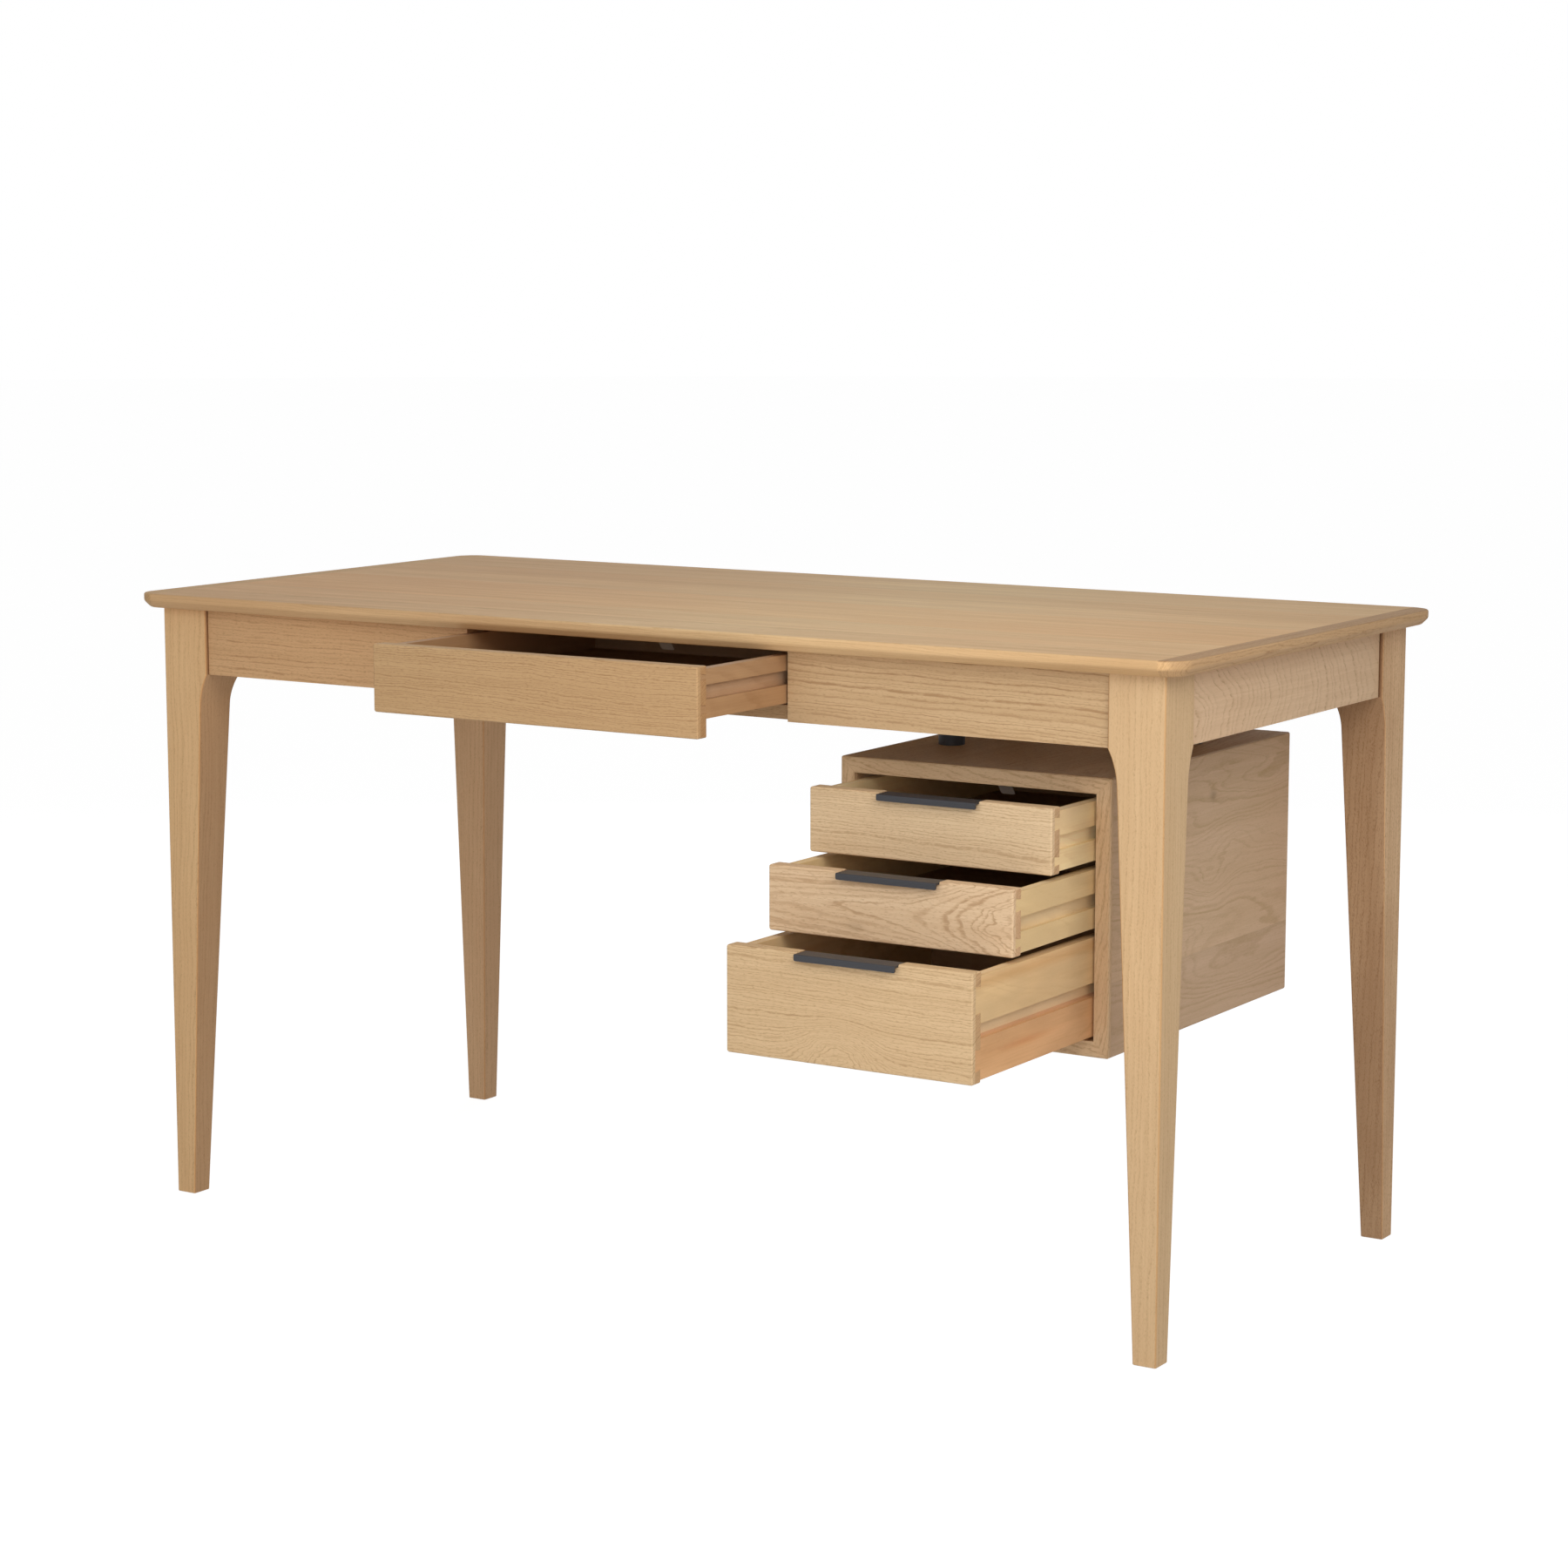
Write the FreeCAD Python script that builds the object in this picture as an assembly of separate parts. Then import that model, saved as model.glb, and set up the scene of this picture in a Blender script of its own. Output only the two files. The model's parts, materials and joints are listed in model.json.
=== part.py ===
import FreeCAD, Part
import math
import os

# Oak desk with one centre drawer and a pedestal of three drawers that hangs under the top.
# +X runs to the right, +Y to the back and +Z up. The floor is z = 0. Sizes are in millimetres.
# The drawers stand open, and each slides along Y on wooden runners that fit in its sides' grooves.

Vector = FreeCAD.Vector
across = Vector(1, 0, 0)
backward = Vector(0, 1, 0)
upward = Vector(0, 0, 1)

# Table top
desk_width = 1400.0
desk_depth = 662.0
desk_height = 743.0
top_thickness = 17.5
top_bevel = 8.0
top_arris = 1.2
top_corner_radius = 30.0
end_strip_width = 26.5
tongue_thickness = 6.0
tongue_length = 7.0

# Legs
side_overhang = 27.0
front_overhang = 22.5
leg_width = 66.0
neck_width = 55.0
foot_width = 27.5
haunch_height = 40.0
leg_arris = 2.0
glide_radius = 9.0
glide_thickness = 3.0
glide_standoff = 1.0

# Aprons, their tenons and the corner blocks
apron_height = 79.0
apron_thickness = 20.0
apron_recess = 5.0
tenon_length = 22.0
tenon_thickness = 9.0
tenon_shoulder = 11.0
mortise_clearance = 0.2
block_thickness = 22.0
block_height = 48.0
block_reach_share = 2.0
bolt_radius = 4.0
bolt_grip = 32.0
bolt_tail = 14.0
nut_sides = 6
nut_radius = 7.5
nut_height = 6.5

# Wooden buttons that hold the top down
button_length = 30.0
button_depth = 26.0
button_height = 16.0
button_tongue = 8.0
button_tongue_height = 6.0
button_slot_clearance = 1.0

# Centre drawer's opening in the front apron
centre_opening_width = 433.5
guide_board_thickness = 18.0
rail_height = 16.0
rail_depth = 45.0
rail_clearance = 0.5

# Pedestal
pedestal_width = 333.3
pedestal_depth = 445.7
pedestal_height = 301.2
pedestal_panel = 17.5
pedestal_drop = 44.7
pedestal_leg_gap = 38.7
pedestal_arris = 1.5
back_panel_thickness = 8.0
back_panel_rebate = 7.0

# Posts that hang the pedestal
post_radius = 15.0
post_inset_x = 56.0
post_inset_y = 146.5
plate_radius = 34.0
plate_thickness = 4.0
plate_clearance = 2.0
plate_screw_circle = 25.0
plate_screw_count = 3
post_bolt_radius = 3.0
post_bolt_head_radius = 6.0
post_bolt_head_height = 4.0
post_bolt_bite = 14.0

# Screws and other small round pieces, which have flats like coarse turned work
fastener_sides = 8
glide_sides = 16
screw_radius = 2.0
screw_head_radius = 3.8
screw_head_height = 2.0
screw_bite = 9.0

# Drawer boxes
drawer_length = 416.0
front_thickness = 16.5
front_arris = 2.0
front_gap_side = 1.5
front_gap_over = 3.2
box_inset = 0.7
side_thickness = 12.5
back_thickness = 12.5
bottom_thickness = 5.0
bottom_rise = 10.0
bottom_groove = 5.0
bottom_clearance = 0.5
runner_groove_depth = 7.0
runner_groove_height = 15.5
tail_lap = 6.0
tail_slope_share = 0.14
tail_shoulder_share = 0.09
half_pin_share = 0.09

# Pedestal drawers: front heights, how far the box stands inside the front, where the groove is
shallow_front_height = 71.0
deep_front_height = 115.0
pedestal_side_rise = 2.8
pedestal_side_drop = 4.7
pedestal_groove_share = 0.47
top_drawer_open = 94.9
middle_drawer_open = 176.6
bottom_drawer_open = 258.5

# Centre drawer: its front hangs lower than its box and covers the rail
centre_front_over = 3.0
centre_side_rise = 20.0
centre_side_drop = 3.3
centre_groove_share = 0.53
centre_drawer_open = 172.4

# Runners
runner_setback = 22.0
runner_play = 0.5
runner_ride_gap = 0.3
runner_screw_inset = 40.0
runner_arris = 1.5

# Pulls, folded from black plate
pull_length = 121.0
pull_thickness = 2.0
pull_lip_out = 7.0
pull_lip_height = 7.0
pull_leg_height = 15.0
pull_set_down = 0.8
pull_end_gap = 0.5
pull_bend = 1.5
pull_screw_inset = 20.0
pull_screw_length = 11.0

# Springy stop flaps behind the fronts
flap_width = 17.0
flap_base = 24.0
flap_thickness = 1.5
flap_drop = 13.7
flap_angle = 51.0
flap_front_gap = 1.5
flap_screw_share = 0.75
flap_shift_centre = 40.5
flap_shift_pedestal = 27.0

# Cuts run this far past the face that they open
overrun = 1.0

# Places worked out from the sizes
leg_span_x = desk_width - 2 * side_overhang
leg_span_y = desk_depth - 2 * front_overhang
pedestal_setback = (leg_span_y - pedestal_depth) / 2
front_reach = max(front_overhang, bottom_drawer_open + pull_lip_out - pedestal_setback)
back_reach = leg_span_y + front_overhang
leg_front_y = (front_reach - back_reach) / 2
leg_back_y = leg_front_y + leg_span_y
leg_outer_x = leg_span_x / 2
under_top = desk_height - top_thickness
apron_low = under_top - apron_height
apron_front_y = leg_front_y + apron_recess
apron_inner_y = apron_front_y + apron_thickness
apron_back_inner_y = leg_back_y - apron_recess - apron_thickness
apron_side_inner_x = leg_outer_x - apron_recess - apron_thickness
leg_inner_x = leg_outer_x - leg_width

pedestal_right = leg_inner_x - pedestal_leg_gap
pedestal_left = pedestal_right - pedestal_width
pedestal_x = (pedestal_left + pedestal_right) / 2
pedestal_face_y = leg_front_y + pedestal_setback
pedestal_high = apron_low - pedestal_drop
pedestal_low = pedestal_high - pedestal_height
pedestal_ceiling = pedestal_high - pedestal_panel
pedestal_floor = pedestal_low + pedestal_panel
pedestal_opening_width = pedestal_width - 2 * pedestal_panel

fronts_height = 2 * shallow_front_height + deep_front_height
front_gap = (pedestal_ceiling - pedestal_floor - fronts_height - front_gap_over) / 3


def block(x_a, x_b, y_a, y_b, z_a, z_b):
    """A box between two corners, given in any order."""
    low = Vector(min(x_a, x_b), min(y_a, y_b), min(z_a, z_b))
    return Part.makeBox(abs(x_b - x_a), abs(y_b - y_a), abs(z_b - z_a), low)


def flat(points):
    """The flat face inside a closed outline."""
    return Part.Face(Part.makePolygon(points + [points[0]]))


def prism(points, direction, length):
    """A solid that extrudes the closed outline through the points."""
    return flat(points).extrude(direction * length)


def on_line(edge, direction):
    """True for a straight edge that runs along the direction."""
    line = edge.Vertexes[-1].Point - edge.Vertexes[0].Point
    return line.Length > 0 and line.normalize().cross(direction).Length < math.radians(1)


def near(value, target):
    """True when two coordinates agree."""
    return math.isclose(value, target, abs_tol=overrun / 100)


def ring(centre, direction, radius, sides):
    """The points of a regular polygon square to the direction."""
    helper = across if abs(direction.dot(upward)) > abs(direction.dot(across)) else upward
    sideways = direction.cross(helper).normalize()
    other_way = direction.cross(sideways)
    points = []
    for step in range(sides):
        angle = 2 * math.pi * step / sides
        points.append(centre + (sideways * math.cos(angle) + other_way * math.sin(angle)) * radius)
    return points


def turned(start, direction, stations, sides):
    """A small round piece with flat sides, through stations of distance along it and radius."""
    rings = [ring(start + direction * distance, direction, radius, sides) for distance, radius in stations]
    faces = [flat(rings[0]), flat(rings[-1])]
    for lower, upper in zip(rings, rings[1:]):
        for step in range(sides):
            faces.append(flat([lower[step - 1], lower[step], upper[step], upper[step - 1]]))
    skin = Part.makeShell(faces)
    skin.sewShape()
    return Part.Solid(skin)


def screw(head, direction, length):
    """A countersunk wood screw whose head is flush with the surface at head."""
    stations = ((0, screw_head_radius), (screw_head_height, screw_radius), (length, screw_radius))
    return turned(head, direction, stations, fastener_sides)


def without(shape, cutters):
    """The shape with every cutter taken out of it."""
    return shape.cut(cutters) if cutters else shape


def group(solids):
    """Separate solids that share one node."""
    return Part.makeCompound([solid for shape in solids for solid in shape.Solids])


def save(name, shape):
    """Write one node."""
    shape.exportStep(f"parts/{name}.step")


# Legs, corner blocks and feet are made once, with the leg's outer corner on the Z axis and the
# desk towards +X and +Y, and are turned into the four corners
corners = {
    "front_left": (0, -leg_outer_x, leg_front_y),
    "front_right": (90, leg_outer_x, leg_front_y),
    "back_right": (180, leg_outer_x, leg_back_y),
    "back_left": (270, -leg_outer_x, leg_back_y),
}


def in_corner(shape, corner):
    """A copy of a corner piece, turned and moved to its corner of the desk."""
    angle, x, y = corners[corner]
    placed = shape.copy()
    placed.rotate(Vector(0, 0, 0), upward, angle)
    placed.translate(Vector(x, y, 0))
    return placed


def leg_outline(sideways):
    """One side of the leg: upright outside, and inside a straight taper and a hollow haunch."""
    foot = sideways * foot_width + upward * glide_standoff
    neck = sideways * neck_width + upward * (apron_low - haunch_height)
    shoulder = sideways * leg_width + upward * apron_low
    shoulder_top = sideways * leg_width + upward * under_top
    outer_top = upward * under_top
    outer_foot = upward * glide_standoff
    taper = (neck - foot).normalize()
    towards_centre = sideways * taper.dot(upward) - upward * taper.dot(sideways)
    chord = shoulder - neck
    radius = chord.Length ** 2 / (2 * chord.dot(towards_centre))
    centre = neck + towards_centre * radius
    middle = centre + ((neck - centre) + (shoulder - centre)).normalize() * radius
    edges = [
        Part.LineSegment(outer_foot, foot).toShape(),
        Part.LineSegment(foot, neck).toShape(),
        Part.Arc(neck, middle, shoulder).toShape(),
        Part.LineSegment(shoulder, shoulder_top).toShape(),
        Part.LineSegment(shoulder_top, outer_top).toShape(),
        Part.LineSegment(outer_top, outer_foot).toShape(),
    ]
    return Part.Face(Part.Wire(edges))


def leg_mortises():
    """The two slots that take the aprons' tenons."""
    depth = tenon_length + mortise_clearance
    middle = apron_recess + apron_thickness / 2
    half = tenon_thickness / 2 + mortise_clearance
    low = apron_low + tenon_shoulder - mortise_clearance
    high = under_top - tenon_shoulder + mortise_clearance
    inside = leg_width - depth
    outside = leg_width + overrun
    return [
        block(inside, outside, middle - half, middle + half, low, high),
        block(middle - half, middle + half, inside, outside, low, high),
    ]


def corner_bolt():
    """A bolt from the leg's inner corner through the corner block, and its nut."""
    diagonal = (across + backward).normalize()
    inner_corner = Vector(leg_width, leg_width, (apron_low + under_top) / 2)
    start = inner_corner - diagonal * bolt_grip
    length = bolt_grip + block_thickness + bolt_tail
    bolt = turned(start, diagonal, ((0, bolt_radius), (length, bolt_radius)), fastener_sides)
    nut_start = inner_corner + diagonal * block_thickness
    nut = prism(ring(nut_start, diagonal, nut_radius, nut_sides), diagonal, nut_height).cut(bolt)
    return bolt, nut


def corner_glide():
    """A plastic disc let into the foot."""
    centre = Vector(foot_width / 2, foot_width / 2, 0)
    return turned(centre, upward, ((0, glide_radius), (glide_thickness, glide_radius)), glide_sides)


def make_leg():
    """A square leg with a haunch under the apron and a taper to the foot."""
    front = leg_outline(across).extrude(backward * leg_width)
    side = leg_outline(backward).extrude(across * leg_width)
    leg = front.common(side)
    arrises = [edge for edge in leg.Edges if edge.BoundBox.ZLength > leg_width / 2]
    leg = leg.makeChamfer(leg_arris, arrises)
    bolt, nut = corner_bolt()
    return without(leg, leg_mortises() + [bolt, corner_glide()])


def make_corner_block():
    """A board set across the corner, glued to both aprons behind the leg."""
    reach = leg_width * block_reach_share
    thick = Vector(block_thickness, block_thickness, 0).Length
    inner = apron_recess + apron_thickness
    low = (apron_low + under_top - block_height) / 2
    outline = [
        Vector(inner, reach - inner, low),
        Vector(reach - inner, inner, low),
        Vector(reach - inner + thick, inner, low),
        Vector(inner, reach - inner + thick, low),
    ]
    bolt, nut = corner_bolt()
    return prism(outline, upward, block_height).cut(bolt)


def build_corners():
    """Four legs, their corner blocks, bolts and glides."""
    leg = make_leg()
    for corner in corners:
        save(f"leg_{corner}", in_corner(leg, corner))
    save("corner_blocks", group([in_corner(make_corner_block(), corner) for corner in corners]))
    save("corner_bolts", group([in_corner(piece, corner) for corner in corners for piece in corner_bolt()]))
    save("foot_glides", group([in_corner(corner_glide(), corner) for corner in corners]))


def make_button(x, y, angle):
    """A wooden button with its tongue in an apron's slot, and the slot that takes it."""
    low = under_top - button_height
    half = button_length / 2
    body = block(-half, half, 0, button_depth, low, under_top)
    tongue = block(-half, half, -button_tongue, 0, low, low + button_tongue_height)
    clearance = button_slot_clearance
    slot = block(
        -half - clearance,
        half + clearance,
        -button_tongue - clearance,
        overrun,
        low - clearance,
        low + button_tongue_height + clearance,
    )
    centre = Vector(0, button_depth / 2, low)
    fixing = screw(centre, upward, button_height + screw_bite)
    pieces = [body.fuse(tongue).removeSplitter().cut(fixing), slot, fixing]
    for piece in pieces:
        piece.rotate(Vector(0, 0, 0), upward, angle)
        piece.translate(Vector(x, y, 0))
    return pieces


def button_places():
    """Two buttons on the front and the back aprons, and one on each side."""
    side_x = (centre_opening_width / 2 + leg_inner_x) / 2
    middle_y = (leg_front_y + leg_back_y) / 2
    return [
        (-side_x, apron_inner_y, 0),
        (side_x, apron_inner_y, 0),
        (side_x, apron_back_inner_y, 180),
        (-side_x, apron_back_inner_y, 180),
        (apron_side_inner_x, middle_y, 90),
        (-apron_side_inner_x, middle_y, 270),
    ]


def tenon(x_a, x_b, y_a, y_b):
    """A tenon between two places in plan, shouldered above and below."""
    return block(x_a, x_b, y_a, y_b, apron_low + tenon_shoulder, under_top - tenon_shoulder)


def apron_along_x(start_x, end_x, face_y, inward, tenon_ends):
    """An apron that runs left to right, with a tenon at each end that meets a leg."""
    board = block(start_x, end_x, face_y, face_y + inward * apron_thickness, apron_low, under_top)
    middle = face_y + inward * apron_thickness / 2
    half = tenon_thickness / 2
    for end, side in tenon_ends:
        board = board.fuse(tenon(end, end + side * tenon_length, middle - half, middle + half))
    return board.removeSplitter()


def apron_along_y(face_x, inward):
    """A side apron, with a tenon at both ends."""
    start_y = leg_front_y + leg_width
    end_y = leg_back_y - leg_width
    board = block(face_x, face_x + inward * apron_thickness, start_y, end_y, apron_low, under_top)
    middle = face_x + inward * apron_thickness / 2
    half = tenon_thickness / 2
    for end, side in ((start_y, -1), (end_y, 1)):
        board = board.fuse(tenon(middle - half, middle + half, end, end + side * tenon_length))
    return board.removeSplitter()


def build_aprons(buttons):
    """Five aprons, the rail under the centre drawer and the guide boards beside it."""
    slots = [slot for body, slot, fixing in buttons]
    opening = centre_opening_width / 2
    back_face_y = leg_back_y - apron_recess
    side_face_x = leg_outer_x - apron_recess
    aprons = {
        "apron_front_left": apron_along_x(-leg_inner_x, -opening, apron_front_y, 1, [(-leg_inner_x, -1)]),
        "apron_front_right": apron_along_x(opening, leg_inner_x, apron_front_y, 1, [(leg_inner_x, 1)]),
        "apron_back": apron_along_x(
            -leg_inner_x, leg_inner_x, back_face_y, -1, [(-leg_inner_x, -1), (leg_inner_x, 1)]
        ),
        "apron_left": apron_along_y(-side_face_x, 1),
        "apron_right": apron_along_y(side_face_x, -1),
    }
    for name, apron in aprons.items():
        save(name, without(apron, slots))
    rail_front_y = apron_front_y + front_thickness + rail_clearance
    rail = block(-opening, opening, rail_front_y, rail_front_y + rail_depth, apron_low, apron_low + rail_height)
    save("front_rail", rail)


def build_guide_boards(fixings):
    """Two boards flush with the opening, from the front apron to the back one."""
    opening = centre_opening_width / 2
    for name, side in (("left", -1), ("right", 1)):
        outer = side * (opening + guide_board_thickness)
        board = block(side * opening, outer, apron_inner_y, apron_back_inner_y, apron_low, under_top)
        save(f"guide_board_{name}", without(board, fixings))


def build_top(fixings):
    """A rounded board with a bevel under its edge, closed at both ends by a strip."""
    plan = block(
        -desk_width / 2,
        desk_width / 2,
        leg_front_y - front_overhang,
        leg_back_y + front_overhang,
        under_top,
        desk_height,
    )
    plan = plan.makeFillet(top_corner_radius, [edge for edge in plan.Edges if on_line(edge, upward)])
    lower_edges = [edge for edge in plan.Edges if near(edge.BoundBox.ZMax, under_top)]
    plan = plan.makeChamfer(top_bevel, lower_edges)
    upper_edges = [edge for edge in plan.Edges if near(edge.BoundBox.ZMin, desk_height)]
    plan = plan.makeChamfer(top_arris, upper_edges)

    panel_end = desk_width / 2 - end_strip_width
    front_y = leg_front_y - front_overhang
    back_y = leg_back_y + front_overhang
    tongue_middle = under_top + top_thickness / 2
    half = tongue_thickness / 2
    panel = plan.common(block(-panel_end, panel_end, front_y, back_y, under_top, desk_height))
    tongue_reach = panel_end + tongue_length
    tongue = block(
        -tongue_reach,
        tongue_reach,
        front_y + top_corner_radius,
        back_y - top_corner_radius,
        tongue_middle - half,
        tongue_middle + half,
    )
    save("top_panel", without(panel.fuse(tongue).removeSplitter(), fixings))
    for name, side in (("left", -1), ("right", 1)):
        half_top = block(side * panel_end, side * desk_width / 2, front_y, back_y, under_top, desk_height)
        save(f"top_end_{name}", plan.common(half_top).cut(tongue))


def pedestal_wedge(side_a, side_b):
    """The part of the pedestal's section nearest one of its four panels."""
    centre_z = (pedestal_low + pedestal_high) / 2
    reach = pedestal_panel
    inner_x = pedestal_width / 2 - reach
    inner_z = pedestal_height / 2 - reach
    outer_x = pedestal_width / 2
    outer_z = pedestal_height / 2
    points = []
    for shares, x, z in ((side_a, outer_x, outer_z), (side_b, outer_x, outer_z)):
        points.append(Vector(pedestal_x + shares[0] * x, pedestal_face_y, centre_z + shares[1] * z))
    for shares, x, z in ((side_b, inner_x, inner_z), (side_a, inner_x, inner_z)):
        points.append(Vector(pedestal_x + shares[0] * x, pedestal_face_y, centre_z + shares[1] * z))
    return prism(points, backward, pedestal_depth)


def build_pedestal(fixings):
    """Four panels mitred at the corners, and a thin back in a rebate."""
    back_y = pedestal_face_y + pedestal_depth
    outside = block(pedestal_left, pedestal_right, pedestal_face_y, back_y, pedestal_low, pedestal_high)
    long_edges = [edge for edge in outside.Edges if on_line(edge, backward)]
    front_edges = [edge for edge in outside.Edges if near(edge.BoundBox.YMax, pedestal_face_y)]
    outside = outside.makeChamfer(pedestal_arris, long_edges + front_edges)
    inside = block(
        pedestal_left + pedestal_panel,
        pedestal_right - pedestal_panel,
        pedestal_face_y - overrun,
        back_y + overrun,
        pedestal_floor,
        pedestal_ceiling,
    )
    back = block(
        pedestal_left + pedestal_panel - back_panel_rebate,
        pedestal_right - pedestal_panel + back_panel_rebate,
        back_y - back_panel_thickness,
        back_y,
        pedestal_floor - back_panel_rebate,
        pedestal_ceiling + back_panel_rebate,
    )
    ring = without(outside, [inside, back] + fixings)
    panels = {
        "pedestal_top": ((-1, 1), (1, 1)),
        "pedestal_bottom": ((-1, -1), (1, -1)),
        "pedestal_left": ((-1, -1), (-1, 1)),
        "pedestal_right": ((1, -1), (1, 1)),
    }
    for name, (side_a, side_b) in panels.items():
        save(name, ring.common(pedestal_wedge(side_a, side_b)))
    save("pedestal_back", back)


def make_post(x, y):
    """A round post with a plate at its head, with screws into the top and a bolt from the pedestal."""
    foot = Vector(x, y, pedestal_high)
    length = under_top - pedestal_high
    stem = Part.makeCylinder(post_radius, length, foot, upward)
    plate = Part.makeCylinder(plate_radius, plate_thickness, Vector(x, y, under_top - plate_thickness), upward)
    bolt_start = Vector(x, y, pedestal_ceiling)
    head_stations = ((0, post_bolt_head_radius), (post_bolt_head_height, post_bolt_head_radius))
    bolt_length = pedestal_panel + post_bolt_bite
    shank_stations = ((0, post_bolt_radius), (bolt_length, post_bolt_radius))
    bolt = turned(bolt_start, upward, shank_stations, fastener_sides).fuse(
        turned(bolt_start, upward, head_stations, fastener_sides)
    )
    screws = []
    for index in range(plate_screw_count):
        angle = 2 * math.pi * (index + 0.5) / plate_screw_count
        place = Vector(
            x + plate_screw_circle * math.cos(angle),
            y + plate_screw_circle * math.sin(angle),
            under_top - plate_thickness,
        )
        screws.append(screw(place, upward, plate_thickness + screw_bite))
    post = without(stem.fuse(plate), screws + [bolt])
    return post.removeSplitter(), bolt.removeSplitter(), screws


def post_places():
    """The centres of the four posts, whose plates stay clear of the guide board."""
    guide_board_right = centre_opening_width / 2 + guide_board_thickness
    left_x = max(pedestal_left + post_inset_x, guide_board_right + plate_radius + plate_clearance)
    back_y = pedestal_face_y + pedestal_depth
    return [
        (x, y)
        for x in (left_x, pedestal_right - post_inset_x)
        for y in (pedestal_face_y + post_inset_y, back_y - post_inset_y)
    ]


def make_flap(x, fold_y, ceiling):
    """A springy leaf that hangs from its base, leans back and catches the drawer's back."""
    angle = math.radians(flap_angle)
    along = Vector(0, math.cos(angle), -math.sin(angle))
    thick = Vector(0, math.sin(angle), math.cos(angle)) * flap_thickness
    leaf = flap_drop / math.sin(angle)
    inner = leaf - flap_thickness * (1 + math.cos(angle)) / math.sin(angle)
    fold = Vector(x - flap_width / 2, fold_y, ceiling)
    tip = fold + along * leaf
    points = [
        fold,
        tip,
        tip + thick,
        tip + thick - along * inner,
        fold + Vector(0, flap_base, -flap_thickness),
        fold + Vector(0, flap_base, 0),
    ]
    fixing = screw(
        Vector(x, fold_y + flap_base * flap_screw_share, ceiling - flap_thickness), upward, flap_thickness + screw_bite
    )
    return prism(points, across, flap_width).cut(fixing), fixing


def make_runners(centre_x, opening_width, closed_y, groove_middle):
    """A pair of runners on the walls beside a drawer, and their screws."""
    start_y = closed_y + runner_setback
    end_y = closed_y + drawer_length
    high = groove_middle + runner_groove_height / 2 - runner_ride_gap
    low = groove_middle - runner_groove_height / 2 + runner_play
    depth = front_gap_side + box_inset + runner_groove_depth - runner_play
    runners = []
    screws = []
    for side in (-1, 1):
        wall = centre_x + side * opening_width / 2
        face = wall - side * depth
        runner = block(wall, face, start_y, end_y, low, high)
        ends = [edge for edge in runner.Edges if near(edge.CenterOfMass.x, face) and on_line(edge, upward)]
        runner = runner.makeChamfer(runner_arris, ends)
        for y in (start_y + runner_screw_inset, end_y - runner_screw_inset):
            place = Vector(face, y, (low + high) / 2)
            screws.append(screw(place, across * side, depth + screw_bite))
        runners.append(without(runner, screws[-2:]))
    return runners, screws


def make_tail(x_a, x_b, root_y, tip_y, low, high):
    """One dovetail of a drawer side, wider at its tip."""
    flare = abs(tip_y - root_y) * tail_slope_share
    start = min(x_a, x_b)
    points = [
        Vector(start, root_y, low + flare),
        Vector(start, tip_y, low),
        Vector(start, tip_y, high),
        Vector(start, root_y, high - flare),
    ]
    return prism(points, across, abs(x_b - x_a))


def make_drawer_side(outer_x, inward, face_y, low, high, groove_middle, bottom_room):
    """A side with dovetails at both ends, a runner groove outside and room for the bottom inside."""
    inner_x = outer_x + inward * side_thickness
    root_front = face_y + front_thickness
    root_back = face_y + drawer_length - back_thickness
    side = block(outer_x, inner_x, root_front, root_back, low, high)
    height = high - low
    groove_low = groove_middle - runner_groove_height / 2
    groove_high = groove_middle + runner_groove_height / 2
    tails = (
        (low + half_pin_share * height, groove_low - tail_shoulder_share * height),
        (groove_high + tail_shoulder_share * height, high - half_pin_share * height),
    )
    for tail_low, tail_high in tails:
        for root_y, tip_y in ((root_front, face_y + tail_lap), (root_back, face_y + drawer_length)):
            side = side.fuse(make_tail(outer_x, inner_x, root_y, tip_y, tail_low, tail_high))
    return without(
        side.removeSplitter(),
        [
            block(
                outer_x - inward * overrun,
                outer_x + inward * runner_groove_depth,
                root_front,
                root_back + back_thickness + overrun,
                groove_low,
                groove_high,
            ),
            bottom_room,
        ],
    )


def make_drawer_bottom(centre_x, half_inside, face_y, low, clearance):
    """The thin panel that lies in the grooves of the front, the sides and the back."""
    reach = bottom_groove - clearance
    return block(
        centre_x - half_inside - reach,
        centre_x + half_inside + reach,
        face_y + front_thickness - reach,
        face_y + drawer_length - back_thickness + reach,
        low + bottom_rise,
        low + bottom_rise + bottom_thickness,
    )


def make_pull(centre_x, face_y, front_high):
    """A plate folded over the front's top edge, with a lip in front and a leg behind."""
    high = front_high - pull_set_down
    back_y = face_y + front_thickness
    start = centre_x - pull_length / 2
    section = (
        (face_y - pull_lip_out, high),
        (back_y + pull_thickness, high),
        (back_y + pull_thickness, high - pull_leg_height),
        (back_y, high - pull_leg_height),
        (back_y, high - pull_thickness),
        (face_y - pull_lip_out + pull_thickness, high - pull_thickness),
        (face_y - pull_lip_out + pull_thickness, high - pull_lip_height),
        (face_y - pull_lip_out, high - pull_lip_height),
    )
    plate = prism([Vector(start, y, z) for y, z in section], across, pull_length)
    bends = [edge for edge in plate.Edges if on_line(edge, across) and near(edge.CenterOfMass.z, high)]
    lip_low = high - pull_lip_height
    corners_below = [edge for edge in plate.Edges if on_line(edge, backward) and near(edge.CenterOfMass.z, lip_low)]
    plate = plate.makeFillet(pull_bend, bends + corners_below)
    screws = []
    for side in (-1, 1):
        place = Vector(
            centre_x + side * (pull_length / 2 - pull_screw_inset),
            back_y + pull_thickness,
            high - pull_leg_height + screw_head_radius + pull_thickness / 2,
        )
        screws.append(screw(place, -backward, pull_screw_length))
    return without(plate, screws), screws


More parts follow.
